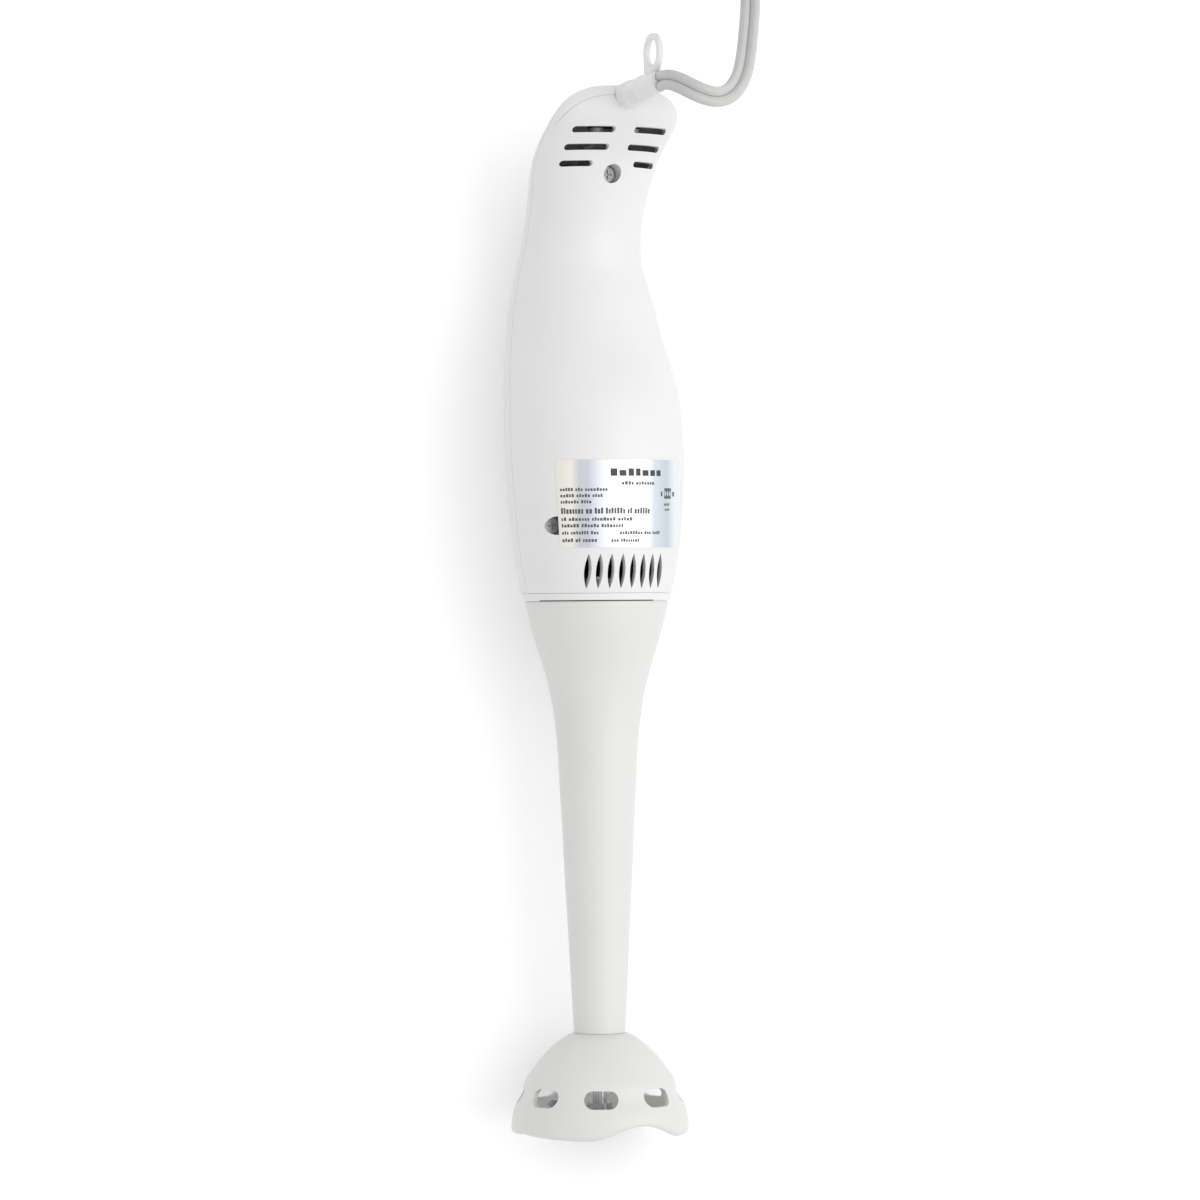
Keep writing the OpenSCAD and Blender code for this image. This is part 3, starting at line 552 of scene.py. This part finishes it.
# ---------------------------------------------------------------- the handle
TOP = 359.9
SEC = np.array([
    [187, 25.8, 25.8, 0], [195, 27.6, 27.6, 0], [206, 29, 29, 0],
    [217.5, 30.1, 30.1, 0], [229.5, 30.8, 30.8, -0.8], [242, 31, 30.6, -1.6],
    [254, 30.4, 30.2, -3], [262.5, 29.4, 29.2, -5.6], [271, 27.9, 27.6, -8.4],
    [280, 26.3, 26, -10.4], [288.5, 24.8, 24.4, -11.8], [299, 22, 22, -13.1],
    [309, 20.4, 20.4, -11.4], [316, 20.4, 20.2, -9.1], [323, 20.6, 19.8, -5.9],
    [331.5, 21.8, 19.1, -1.9], [336.2, 22.4, 17.5, 1.8], [341.4, 22.8, 16.6, 8],
    [346.4, 23, 14, 15.8], [350, 22.7, 11, 20.6], [353.6, 20.9, 8.8, 23],
    [356.4, 17.8, 6.6, 23.2], [358.4, 13.4, 4.4, 23.3], [359.5, 7.6, 2.4, 23.4],
    [TOP, 1, 0.4, 23.4]])
seg = np.diff(SEC, axis=0)
arc = np.concatenate([[0], np.cumsum(np.sqrt((seg**2).sum(1)))])
NROW = 150
uu = np.linspace(0, arc[-1], NROW)
ROWS = hermite(arc, SEC, uu)
for _ in range(14):
    sm = ROWS.copy()
    sm[1:-1] = (ROWS[:-2] + 2 * ROWS[1:-1] + ROWS[2:]) / 4
    ROWS[2:-8] = sm[2:-8]
ROWS[:, 1:3] = np.maximum(ROWS[:, 1:3], 0.05)


def section(z):
    """Half width, half depth and middle of the handle at height z."""
    i = int(np.clip(np.searchsorted(ROWS[:, 0], z) - 1, 0, len(ROWS) - 2))
    t = (z - ROWS[i, 0]) / (ROWS[i + 1, 0] - ROWS[i, 0])
    return ROWS[i, 1:] * (1 - t) + ROWS[i + 1, 1:] * t


def half_shell(a0, grow=0.0):
    """Outer form of one shell, with eased edges along the parting line."""
    ease = [(0.0, 0.36), (0.16, 0.15), (0.36, 0.04), (0.6, 0.0)]
    rings = []
    rows = [ROWS[0].copy() for _ in range(3)]
    rows[1][0] += 0.16
    rows[2][0] += 0.45
    inset0 = [0.14, 0.05, 0.0]
    allrows = [(r, i0) for r, i0 in zip(rows, inset0)] + [(r, 0.0) for r in ROWS[1:]]
    for r, i0 in allrows:
        z, a, b_, yc = r
        rad = max((a + b_) / 2, 0.5)
        es = [(min(s / rad, 0.12 + 0.01 * k), ins) for k, (s, ins) in enumerate(ease)]
        ths = [e[0] for e in es]
        mid = np.linspace(es[-1][0], math.pi - es[-1][0], 92)[1:-1]
        th = ths + list(mid) + [math.pi - t for t in ths[::-1]]
        ins = [e[1] for e in es] + [0.0] * len(mid) + [e[1] for e in es[::-1]]
        ring = []
        for t, q in zip(th, ins):
            q = min(q, rad * 0.3) + i0
            aa, bb = max(a - q, 0.02), max(b_ - q, 0.02)
            ring.append((aa * math.cos(t + a0), yc + bb * math.sin(t + a0), z))
        rings.append(ring)
    return loft(rings)


def hollow_form():
    rings = []
    for r in ROWS:
        if r[0] > 350.5:
            break
        z, a, b_, yc = r
        rings.append([((a - 2.3) * math.cos(t), yc + (b_ - 2.3) * math.sin(t), z) for t in np.linspace(0, 2 * math.pi, 97)[:-1]])
    first = [(x, y, z - 3.0) for x, y, z in rings[0]]
    return loft([first] + rings)


def prism(outline, origin, xdir, ydir, zdir, z0, z1):
    """Outline in the plane xdir, ydir pushed along zdir from z0 to z1."""
    o, xd, yd, zd = (np.asarray(q, float) for q in (origin, xdir, ydir, zdir))
    rings = [[o + xd * a + yd * c + zd * h for a, c in outline] for h in (z0, z1)]
    return loft(rings)


def pill(w, h, n=10):
    out = []
    r = h / 2
    c = w / 2 - r
    for k in range(n + 1):
        a = -math.pi / 2 + math.pi * k / n
        out.append((c + r * math.cos(a), r * math.sin(a)))
    for k in range(n + 1):
        a = math.pi / 2 + math.pi * k / n
        out.append((-c + r * math.cos(a), r * math.sin(a)))
    return out


def lens(w, h, n=12):
    r = (h * h / 4 + w * w / 4) / w
    am = math.asin(min(1, h / 2 / r))
    out = []
    for k in range(n + 1):
        a = -am + 2 * am * k / n
        out.append((w / 2 - r + r * math.cos(a), r * math.sin(a)))
    for k in range(1, n):
        a = am - 2 * am * k / n
        out.append((-(w / 2 - r + r * math.cos(a)), r * math.sin(a)))
    return out


def disc(r, n=40):
    return [(r * math.cos(2 * math.pi * k / n), r * math.sin(2 * math.pi * k / n)) for k in range(n)]


RELIEF = np.array([0, 29.6, 355.7])
rt = math.radians(4.7)
rdir = np.array([0, math.cos(rt), math.sin(rt)])
rup = np.array([0, -math.sin(rt), math.cos(rt)])
POSTS = [(22.1, 210, 12), (0, 330.4, 10)]

relief_cut = prism(disc(4.55), RELIEF, (1, 0, 0), rup, rdir, -11, 12)
rear_cuts = [hollow_form(), relief_cut]
sl = math.radians(0.3)
for k in range(8):
    x = 27.6 * math.sin(math.radians((k - 3.5) * 8.2))
    xd, yd = np.array([math.cos(sl), 0, math.sin(sl)]), np.array([-math.sin(sl), 0, math.cos(sl)])
    rear_cuts.append(prism(lens(2.25, 12.0), (x, 0, 194.4), xd, yd, (0, 1, 0), 16, 40))
for s in (-1, 1):
    for x, z, w in ((10.4, 344.5, 13.8), (10.5, 339.0, 14.0), (12.5, 333.7, 9.9)):
        rear_cuts.append(prism(pill(w, 2.0), (s * x, 0, z), (1, 0, 0), (0, 0, 1), (0, 1, 0), 8, 42))
for x, z, y in POSTS:
    rear_cuts.append(prism(disc(3.2), (x, 0, z), (1, 0, 0), (0, 0, 1), (0, 1, 0), y, 45))

v, f = half_shell(0.0)
rear = piece("rear_shell", v, f, "housing_plastic", "handle", ["rear_housing"])
cut(rear, rear_cuts)

# screw towers behind the recesses
tv, tf = [], []
for x, z, y in POSTS:
    sec_ = section(z)
    ysurf = sec_[2] + sec_[1] * math.sqrt(max(0.0, 1 - (x / sec_[0]) ** 2))
    edge = sec_[2] + sec_[1] * math.sqrt(max(0.0, 1 - (min(abs(x) + 4.0, sec_[0] * 0.999) / sec_[0]) ** 2))
    yt = min(edge, ysurf) - 0.7 if abs(x) > 1 else ysurf - 1.6
    prof_ = [(1.8, y - 7), (4.1, y - 7), (4.1, yt), (3.2, yt), (3.2, y), (1.8, y)]
    rings = []
    for k in range(40):
        a = 2 * math.pi * k / 40
        rings.append([(x + r * math.cos(a), h, z + r * math.sin(a)) for r, h in prof_])
    vv, ff = loft(rings, close=True)
    tf += [tuple(i + len(tv) for i in q) for q in ff]
    tv += vv
towers = piece("screw_towers", tv, tf, "housing_plastic", "handle", [])
sharpen(towers, 40)

# the seam of the two shells, seen just below the crest of the head, drawn as a thin grey tube: painted shade of the gap
# between them
crest = []
for x in np.linspace(22.3, 3.4, 40):
    zt = 343.0 + 13.0 * math.sqrt(max(0.0, 1 - ((x - 2.0) / 20.6) ** 2.6))
    s_ = section(zt)
    q_ = 1 - (x / s_[0]) ** 2
    if q_ > 0.0:
        crest.append((x, s_[2] + s_[1] * math.sqrt(q_), zt))
crest = np.array(crest)
rings = []
for i in range(len(crest)):
    d = unit(crest[min(i + 1, len(crest) - 1)] - crest[max(i - 1, 0)])
    n0 = unit(np.cross(d, [0, 1, 0]))
    n1 = np.cross(d, n0)
    e = 0.1 if i in (0, len(crest) - 1) else 1.0
    rings.append([crest[i] + (n0 * 0.13 * math.cos(a) + n1 * 0.09 * math.sin(a)) * e for a in np.linspace(0, 2 * math.pi, 9)[:-1]])
v, f = loft(rings)
seam_line = piece("crest_seam", v, f, "parting_gap_painted_shade", "handle", [])

# windows for the buttons in the front shell
BUTTONS = {"button_low": (307, -33.9, 17), "button_high": (325.5, -25.6, 32)}


def button_axes(b_):
    t = math.radians(b_[2])
    o = np.array([0, b_[1], b_[0]])
    inward = np.array([0, math.cos(t), -math.sin(t)])
    upw = np.array([0, math.sin(t), math.cos(t)])
    return o, inward, upw


v, f = half_shell(math.pi)
front = piece("front_shell", v, f, "housing_plastic", "handle", ["front_housing"])
front_cuts = [hollow_form(), relief_cut]
for b_ in BUTTONS.values():
    o, inw, upw = button_axes(b_)
    front_cuts.append(prism([(q, p) for p, q in pill(15.8, 11.8, 16)], o, (1, 0, 0), upw, inw, -5, 9))
cut(front, front_cuts)
for ob in (rear, front):
    for p in ob.data.polygons:
        p.use_smooth = True
    sharpen(ob, 28)

# buttons: soft pads with a dished face
for name, b_ in BUTTONS.items():
    o, inw, upw = button_axes(b_)
    rings = []
    for dpt, ins in [(6, 0), (1.1, 0), (0.6, 0.12), (0.28, 0.36), (0.08, 0.75), (0.0, 1.25)]:
        rings.append([o + np.array([1, 0, 0]) * q + upw * p + inw * dpt for p, q in pill(15 - 2 * ins, 11 - 2 * ins, 16)])
    for ins, dpt in [(2.0, 0.1), (3.0, 0.32), (4.2, 0.46), (5.2, 0.5)]:
        rings.append([o + np.array([1, 0, 0]) * q + upw * p + inw * dpt for p, q in pill(15 - 2 * ins, 11 - 2 * ins, 16)])
    v, f = loft(rings)
    # stem behind the pad
    sv, sf = loft([[o + np.array([1, 0, 0]) * 2.6 * math.cos(a) + upw * 2.6 * math.sin(a) + inw * h for a in np.linspace(0, 2 * math.pi, 33)[:-1]] for h in (5.9, 15.4 if name == "button_low" else 8.9)])
    f = list(f) + [tuple(i + len(v) for i in q) for q in sf]
    v = list(v) + list(sv)
    pad = piece(name + "_pad", v, f, "button_plastic", name, [name])
    sharpen(pad, 50)

# base ring: a thin band over the seam, and the spigot the leg sits on
prof_ = rounded([(17, 177), (19.6, 177), (19.6, 184.6), (25.2, 184.6), (25.66, 186.95), (22.4, 186.95),
                 (22.4, 188.4), (13, 188.4), (13, 186.6), (17, 186.6)], [0.4, 0.5, 0.1, 0.22, 0.22, 0.1, 0.2, 0.2, 0.2, 0.2], 3)
v, f = lathe(prof_, 144)
ring = piece("seam_band", v, f, "leg_plastic", "handle", ["base_ring"])
ring.data.materials.clear()
ring.data.materials.append(MAT["housing_plastic"])
sharpen(ring, 40)

# ---------------------------------------------------------------- the label
LZ, LH, LA = 202.5, 29.7, math.radians(48.4)


def on_skin(a, z, off):
    s_ = section(z)
    return ((s_[0] + off) * math.sin(a), s_[2] + (s_[1] + off) * math.cos(a), z)


def patch(a0, a1, z0, z1, lo, hi, na, nz, corner=0.0):
    """Thin curved plate on the handle between two azimuths and two heights."""
    rings = []
    outline = []
    wa = (a1 - a0) / 2
    ca, cz, hz = (a0 + a1) / 2, (z0 + z1) / 2, (z1 - z0) / 2
    rad = 30.0
    for i in range(nz + 1):
        z = z0 + (z1 - z0) * i / nz
        dz = max(0.0, abs(z - cz) - (hz - corner))
        cut_ = corner - math.sqrt(max(0.0, corner * corner - dz * dz)) if corner else 0.0
        w = wa - cut_ / rad
        top = [on_skin(ca - w + 2 * w * j / na, z, hi) for j in range(na + 1)]
        bot = [on_skin(ca + w - 2 * w * j / na, z, lo) for j in range(na + 1)]
        rings.append(top + bot)
    return loft(rings)


v, f = patch(-LA, LA, LZ, LZ + LH, 0.0, 0.16, 72, 40, 0.8)
mat_ids = [0] * len(f)
v, f = list(v), list(f)


def bar(x0, x1, z0, z1, mat):
    """Printed bar, x counted in mm from the label's left edge as seen from behind."""
    global v, f, mat_ids
    a0, a1 = LA - x0 / 30.4, LA - x1 / 30.4
    vv, ff = patch(min(a0, a1), max(a0, a1), z0, z1, 0.14, 0.175, max(2, int(abs(x1 - x0) / 1.2)), 1)
    f += [tuple(i + len(v) for i in q) for q in ff]
    v += list(vv)
    mat_ids += [mat] * len(ff)


# small plain blocks stand for the print: no lettering, no marks
rng = np.random.default_rng(7)


def row_of_blocks(x, z, words, h, wid, gap, mat):
    for count in words:
        for _ in range(count):
            k = 0.75 + 0.4 * rng.random()
            bar(x, x + wid * k, z, z + h * (0.78 if rng.random() < 0.6 else 1.0), mat)
            x += wid * k + gap
        x += gap * 2.2


row_of_blocks(18.8, 226.7, [7], 2.5, 2.3, 0.75, 1)
row_of_blocks(22.6, 223.7, [4, 7], 1.15, 0.85, 0.3, 2)
row_of_blocks(1.2, 221.6, [5, 3, 8], 1.1, 0.72, 0.28, 2)
row_of_blocks(1.2, 219.5, [5, 5, 4], 1.1, 0.72, 0.28, 2)
row_of_blocks(1.2, 217.4, [7, 4], 1.1, 0.72, 0.28, 2)
row_of_blocks(1.2, 213.9, [8, 2, 3, 7, 2, 6], 2.0, 0.78, 0.3, 2)
row_of_blocks(1.2, 211.5, [2, 7, 8, 5], 1.15, 0.8, 0.3, 2)
row_of_blocks(1.2, 209.3, [6, 6, 8], 1.15, 0.8, 0.3, 2)
row_of_blocks(1.2, 206.9, [3, 7, 3], 1.1, 0.72, 0.28, 2)
row_of_blocks(22.0, 206.9, [9, 3, 4], 1.1, 0.72, 0.28, 2)
row_of_blocks(1.2, 204.3, [4, 2, 5], 1.25, 0.75, 0.3, 2)
row_of_blocks(19.0, 204.3, [3, 8], 1.1, 0.72, 0.28, 2)
bar(40.2, 44.0, 219.0, 222.6, 2)
bar(38.4, 39.2, 219.8, 221.4, 2)
bar(45.0, 46.2, 219.8, 221.4, 2)
row_of_blocks(40.2, 216.6, [4], 1.0, 0.65, 0.25, 2)
row_of_blocks(40.8, 214.9, [3], 0.9, 0.65, 0.25, 2)
me_name = "foil_label"
label = piece(me_name, v, f, "label_foil", "handle", ["rating_label"], mats=["label_foil", "label_print", "label_print_soft"])
label.data.polygons.foreach_set("material_index", mat_ids)
sharpen(label, 40)

# ---------------------------------------------------------------- relief, loop
prof_ = [(0.02, -8), (4.5, -8), (4.5, -0.6), (4.15, -0.3), (4.15, 0.3), (4.5, 0.7), (4.62, 1.3), (4.5, 1.9), (4.15, 2.2), (4.15, 2.8),
         (4.55, 3.1), (4.68, 3.7), (4.55, 4.3), (4.15, 4.6), (4.15, 5.1), (4.5, 5.4), (4.62, 5.9), (4.5, 6.5), (4.2, 6.8),
         (4.1, 7.6), (4.05, 9.0), (4.1, 11.5), (4.3, 13.4), (4.42, 14.2), (4.42, 15.7), (4.2, 16.3), (3.95, 17.2), (3.8, 20.0),
         (3.62, 24.0), (3.5, 27.2), (3.38, 27.65), (3.1, 27.86), (0.02, 27.88)]
rings = []
for k in range(56):
    a = 2 * math.pi * k / 56
    rings.append([RELIEF + np.array([1, 0, 0]) * r * math.cos(a) + rup * r * math.sin(a) + rdir * h for r, h in prof_])
v, f = loft(rings, close=True)
relief = piece("cord_sleeve", v, f, "housing_plastic", "handle", ["strain_relief"])
sharpen(relief, 48)

LC = np.array([0, 52.0, 368.2])
outer = []
for k in range(120):
    a = 2 * math.pi * k / 120
    y, z = 6.5 * math.cos(a), 6.5 * math.sin(a)
    outer.append([y, z])
foot = [(-6.25, -2.0), (-5.9, -4.4), (-5.45, -7.45), (3.35, -6.85), (5.2, -4.6), (6.1, -2.2)]
pts = [p for p in outer if p[1] > -1.8]
pts.sort(key=lambda p: math.atan2(p[1], p[0]))
arc_ = [p for p in pts]
outline = arc_ + [foot[0], foot[1], foot[2], foot[3], foot[4], foot[5]]
outline = rounded(outline, [0.0] * len(arc_) + [0, 0.8, 0.3, 0.3, 0.8, 0], 4)
res = []
# resample evenly so both outlines have one point per angle about the hole
ang = np.unwrap([math.atan2(p[1], p[0]) for p in outline])
N = 120
tt = np.linspace(0, 2 * math.pi, N + 1)[:-1]
oa = np.array([math.atan2(p[1], p[0]) % (2 * math.pi) for p in outline])
orad = np.array([math.hypot(*p) for p in outline])
order = np.argsort(oa)
oa, orad = oa[order], orad[order]
oa = np.concatenate([oa[-1:] - 2 * math.pi, oa, oa[:1] + 2 * math.pi])
orad = np.concatenate([orad[-1:], orad, orad[:1]])
ro = np.interp(tt, oa, orad)
rings = []
for t, r in zip(tt, ro):
    loop = []
    for rad_, x in [(4.5, -0.62), (4.5, 0.62), (4.62, 0.86), (4.9, 1.0), (r - 0.42, 1.0), (r - 0.12, 0.86), (r, 0.6),
                    (r, -0.6), (r - 0.12, -0.86), (r - 0.42, -1.0), (4.9, -1.0), (4.62, -0.86)]:
        loop.append((x, LC[1] + rad_ * math.cos(t), LC[2] + rad_ * math.sin(t)))
    rings.append(loop)
v, f = loft(rings, close=True)
hang = piece("hanging_ring", v, f, "loop_plastic", "handle", ["hanging_loop"])
sharpen(hang, 60)

# ---------------------------------------------------------------- the leg
TURN = math.radians(2.5)
leg_out = [(8.8, 35.5), (9.8, 53.5), (10.7, 72.5), (11.7, 90.7), (12.4, 106.6), (13.3, 122.5), (14.1, 137.3),
           (15.0, 144.9), (16.3, 153.2), (18.3, 160.8), (20.6, 168.2), (23.0, 176.1), (24.6, 183.8)]
zs = np.linspace(35.6, 183.75, 90)
lo_ = np.array(leg_out)
rad_s = hermite(lo_[:, 1], lo_[:, 0], zs)
for _ in range(10):
    rad_s[1:-1] = (rad_s[:-2] + 2 * rad_s[1:-1] + rad_s[2:]) / 4
prof_ = [(3, 35.52), (8.5, 35.52), (8.75, 35.56)] + [(float(r), float(z)) for r, z in zip(rad_s, zs)]
prof_ += [(24.56, 184.0), (24.42, 184.2), (24.15, 184.3), (22.4, 184.3), (22.2, 184.1), (20.6, 176.4), (18.3, 168.6),
          (17.4, 166), (7, 166), (7, 170), (4.5, 170), (4.5, 158), (7, 158), (7, 163), (16.2, 163), (14, 153.2), (12.7, 144.9),
          (11.9, 137.3), (11.1, 122.5), (10.1, 106.6), (9.4, 90.7), (8.4, 72.5), (7.5, 53.5), (7.1, 39), (3, 39)]
v, f = lathe(prof_, 144)
leg = piece("leg_cone", v, f, "leg_plastic", "leg", ["leg_tube"])
sharpen(leg, 30)

# bell: outer and inner skins as grids over angle and profile, foot waved by two arches
bo = np.array([(8.85, 35.5), (10.6, 34.9), (14.1, 32.7), (16.8, 30.4), (19.9, 27.3), (23.0, 23.4), (25.1, 20.4), (26.1, 18.4),
               (26.7, 16.2), (27.5, 14.0), (28.9, 11.4), (29.9, 8.6), (30.4, 5.6), (30.62, 3.0), (30.6, 1.5), (30.2, 0.5), (29.6, 0.05), (28.9, 0.0),
               (28.45, 0.4), (28.2, 1.6), (28.1, 4.0), (27.9, 7.2), (27.0, 10.6), (25.4, 13.6), (24.6, 16.4), (23.8, 18.6), (21.6, 22.0),
               (18.5, 25.8), (15.5, 28.6), (12.4, 30.8), (9.5, 31.9), (7.2, 32.0), (6.5, 31.2), (6.5, 16.8), (6.2, 16.5), (4.7, 16.5), (4.5, 16.7), (4.5, 33), (3, 33), (3, 35.5)])
dseg = np.concatenate([[0], np.cumsum(np.linalg.norm(np.diff(bo[:33], axis=0), axis=1))])
ds = np.linspace(0, dseg[-1], 110)
dense = hermite(dseg, bo[:33], ds)
for _ in range(2):
    dense[1:-1] = (dense[:-2] + 2 * dense[1:-1] + dense[2:]) / 4
bell_prof = [tuple(p) for p in dense] + [tuple(p) for p in bo[33:]]
NA = 240
rings = []
for i in range(NA):
    a = 2 * math.pi * i / NA
    # angle from the back (+y), the arch's middle
    az = abs((math.degrees(a) - 90 - 6.5 + 90) % 180 - 90)
    lift = 4.8 * (0.5 + 0.5 * math.cos(math.pi * min(az / 35.0, 1.0))) ** 0.85
    lift += 0.6 + 1.1 * max(0.0, (az - 45) / 45) ** 1.5
    ring_ = []
    for r, z in bell_prof:
        k = max(0.0, 1 - max(0.0, z) / 13.0)
        zz_ = z + lift * (k**1.5) if r > 20 else z
        ring_.append((r * math.cos(a), r * math.sin(a), zz_))
    rings.append(ring_)
v, f = loft(rings, close=True)
bell = piece("bell", v, f, "leg_plastic", "leg", ["blade_guard"], mats=["leg_plastic", "leg_inside_painted_shade"])
cuts = []
for k in range(8):
    a = TURN + math.radians(20.5 + 45 * k)
    rad_v = np.array([-math.sin(a), math.cos(a), 0])
    tan_v = np.array([math.cos(a), math.sin(a), 0])
    cuts.append(prism(pill(11.7, 6.1, 14), (0, 0, 14.6), tan_v, (0, 0, 1), rad_v, 18, 33))
cut(bell, cuts)
# inward faces, the boss bore and downward faces inside the bell take the darker second material: painted shade
inv = np.linalg.inv(M)
for p in bell.data.polygons:
    p.use_smooth = True
    c = inv @ (np.array(p.center) * 1000 - ORG)
    nn = inv @ np.array(p.normal)
    rad_c = math.hypot(c[0], c[1])
    out_ = (nn[0] * c[0] + nn[1] * c[1]) / max(rad_c, 1e-6)
    p.material_index = 1 if (out_ < -0.25 and 2.5 < c[2] < 34) or (rad_c < 7 and c[2] < 32) or (nn[2] < -0.5 and rad_c < 27 and c[2] > 6) else 0
bv = bell.modifiers.new("edge", "BEVEL")
bv.width, bv.segments, bv.limit_method, bv.angle_limit = 0.00035, 2, "ANGLE", math.radians(50)
bv.use_clamp_overlap = True
apply_all(bell)
sharpen(bell, 40)

# ---------------------------------------------------------------- the blade
BA = math.radians(-69)
half = []
for s_, w0, w1, z in [(0, -5.8, 5.8, 0), (3, -5.5, 5.5, 0), (7, -4.8, 5.4, 0), (11, -3.9, 5.3, 0), (15, -2.9, 5.2, 0.0),
                      (18.5, -1.9, 5.0, 0.15), (20.5, -1.2, 4.7, 0.25), (22.0, -0.2, 4.2, 0.35), (22.9, 1.0, 3.3, 0.4)]:
    half.append((s_, w0, w1, z))
vv, ff = [], []
for sgn in (1, -1):
    rings = []
    for s_, w0, w1, z in half:
        # flat face below, ground bevel to the leading edge
        ring_ = []
        for w, h in [(w0, 8.35), (w0 + 0.25, 8.0), (w1 - 1.6, 8.0), (w1, 8.1), (w1, 8.16), (w1 - 1.7, 9.3), (w0 + 0.25, 9.3), (w0, 9.0)]:
            ring_.append((sgn * s_, sgn * w, h + 1.5 * (max(0.0, s_ - 13.0) / 10.0) ** 2))
        rings.append(ring_)
    v, f = loft(rings, cap=True)
    ff += [tuple(i + len(vv) for i in q) for q in f]
    vv += [tuple(p) for p in v]
R2 = rot("z", BA)
vv = [tuple(R2 @ np.array(p)) for p in vv]
# the blade takes the darker steel: painted shade
bl = piece("cutter_blade", vv, ff, "shaft_steel", "blade_shaft", ["blade"], mats=["blade_steel_painted_shade"])
sharpen(bl, 20)

# ---------------------------------------------------------------- CAD nodes that stay
SLOT = {s_["node"]: s_["material_slot"] for s_ in frame["record"]["subparts"]}
for name, ob in NODE.items():
    mat_ = MAT.get(SLOT.get(name))
    if mat_:
        ob.data.materials.clear()
        ob.data.materials.append(mat_)
        for p in ob.data.polygons:
            p.material_index = 0

# ---------------------------------------------------------------- floor and light
me = bpy.data.meshes.new("floor")
S = 4.0
me.from_pydata([(-S, -S, 0), (S, -S, 0), (S, S, 0), (-S, S, 0)], [], [(0, 1, 2, 3)])
floor = bpy.data.objects.new("floor", me)
bpy.context.scene.collection.objects.link(floor)
fm, nt, b = nodes_of("floor_paper")
n = noise(nt, 6, 3.0)
nt.links.new(ramp(nt, n.outputs["Fac"], (0.94, 0.94, 0.94), (0.95, 0.95, 0.95)).outputs["Color"], b.inputs["Base Color"])
b.inputs["Roughness"].default_value = 0.9
b.inputs["Specular IOR Level"].default_value = 0.1
me.materials.append(fm)
floor.location.z = -0.0003

w = bpy.data.worlds.new("studio")
bpy.context.scene.world = w
w.use_nodes = True
bg = w.node_tree.nodes["Background"]
bg.inputs["Color"].default_value = (1, 1, 1, 1)
bg.inputs["Strength"].default_value = 1.0


def area(name, loc, aim, size, power, size_y=None):
    ld = bpy.data.lights.new(name, "AREA")
    ld.energy = power
    ld.shape = "RECTANGLE"
    ld.size, ld.size_y = size, size_y or size
    lo = bpy.data.objects.new(name, ld)
    bpy.context.scene.collection.objects.link(lo)
    lo.location = loc
    dv = Vector(aim) - Vector(loc)
    lo.rotation_mode = "QUATERNION"
    lo.rotation_quaternion = dv.to_track_quat("-Z", "Y")
    return lo


area("key", (1.3, 0.1, 1.2), (0, 0, 0), 1.5, 12.0, 1.8)
area("top", (0.5, 0.2, 2.2), (0, 0, 0), 2.0, 5)
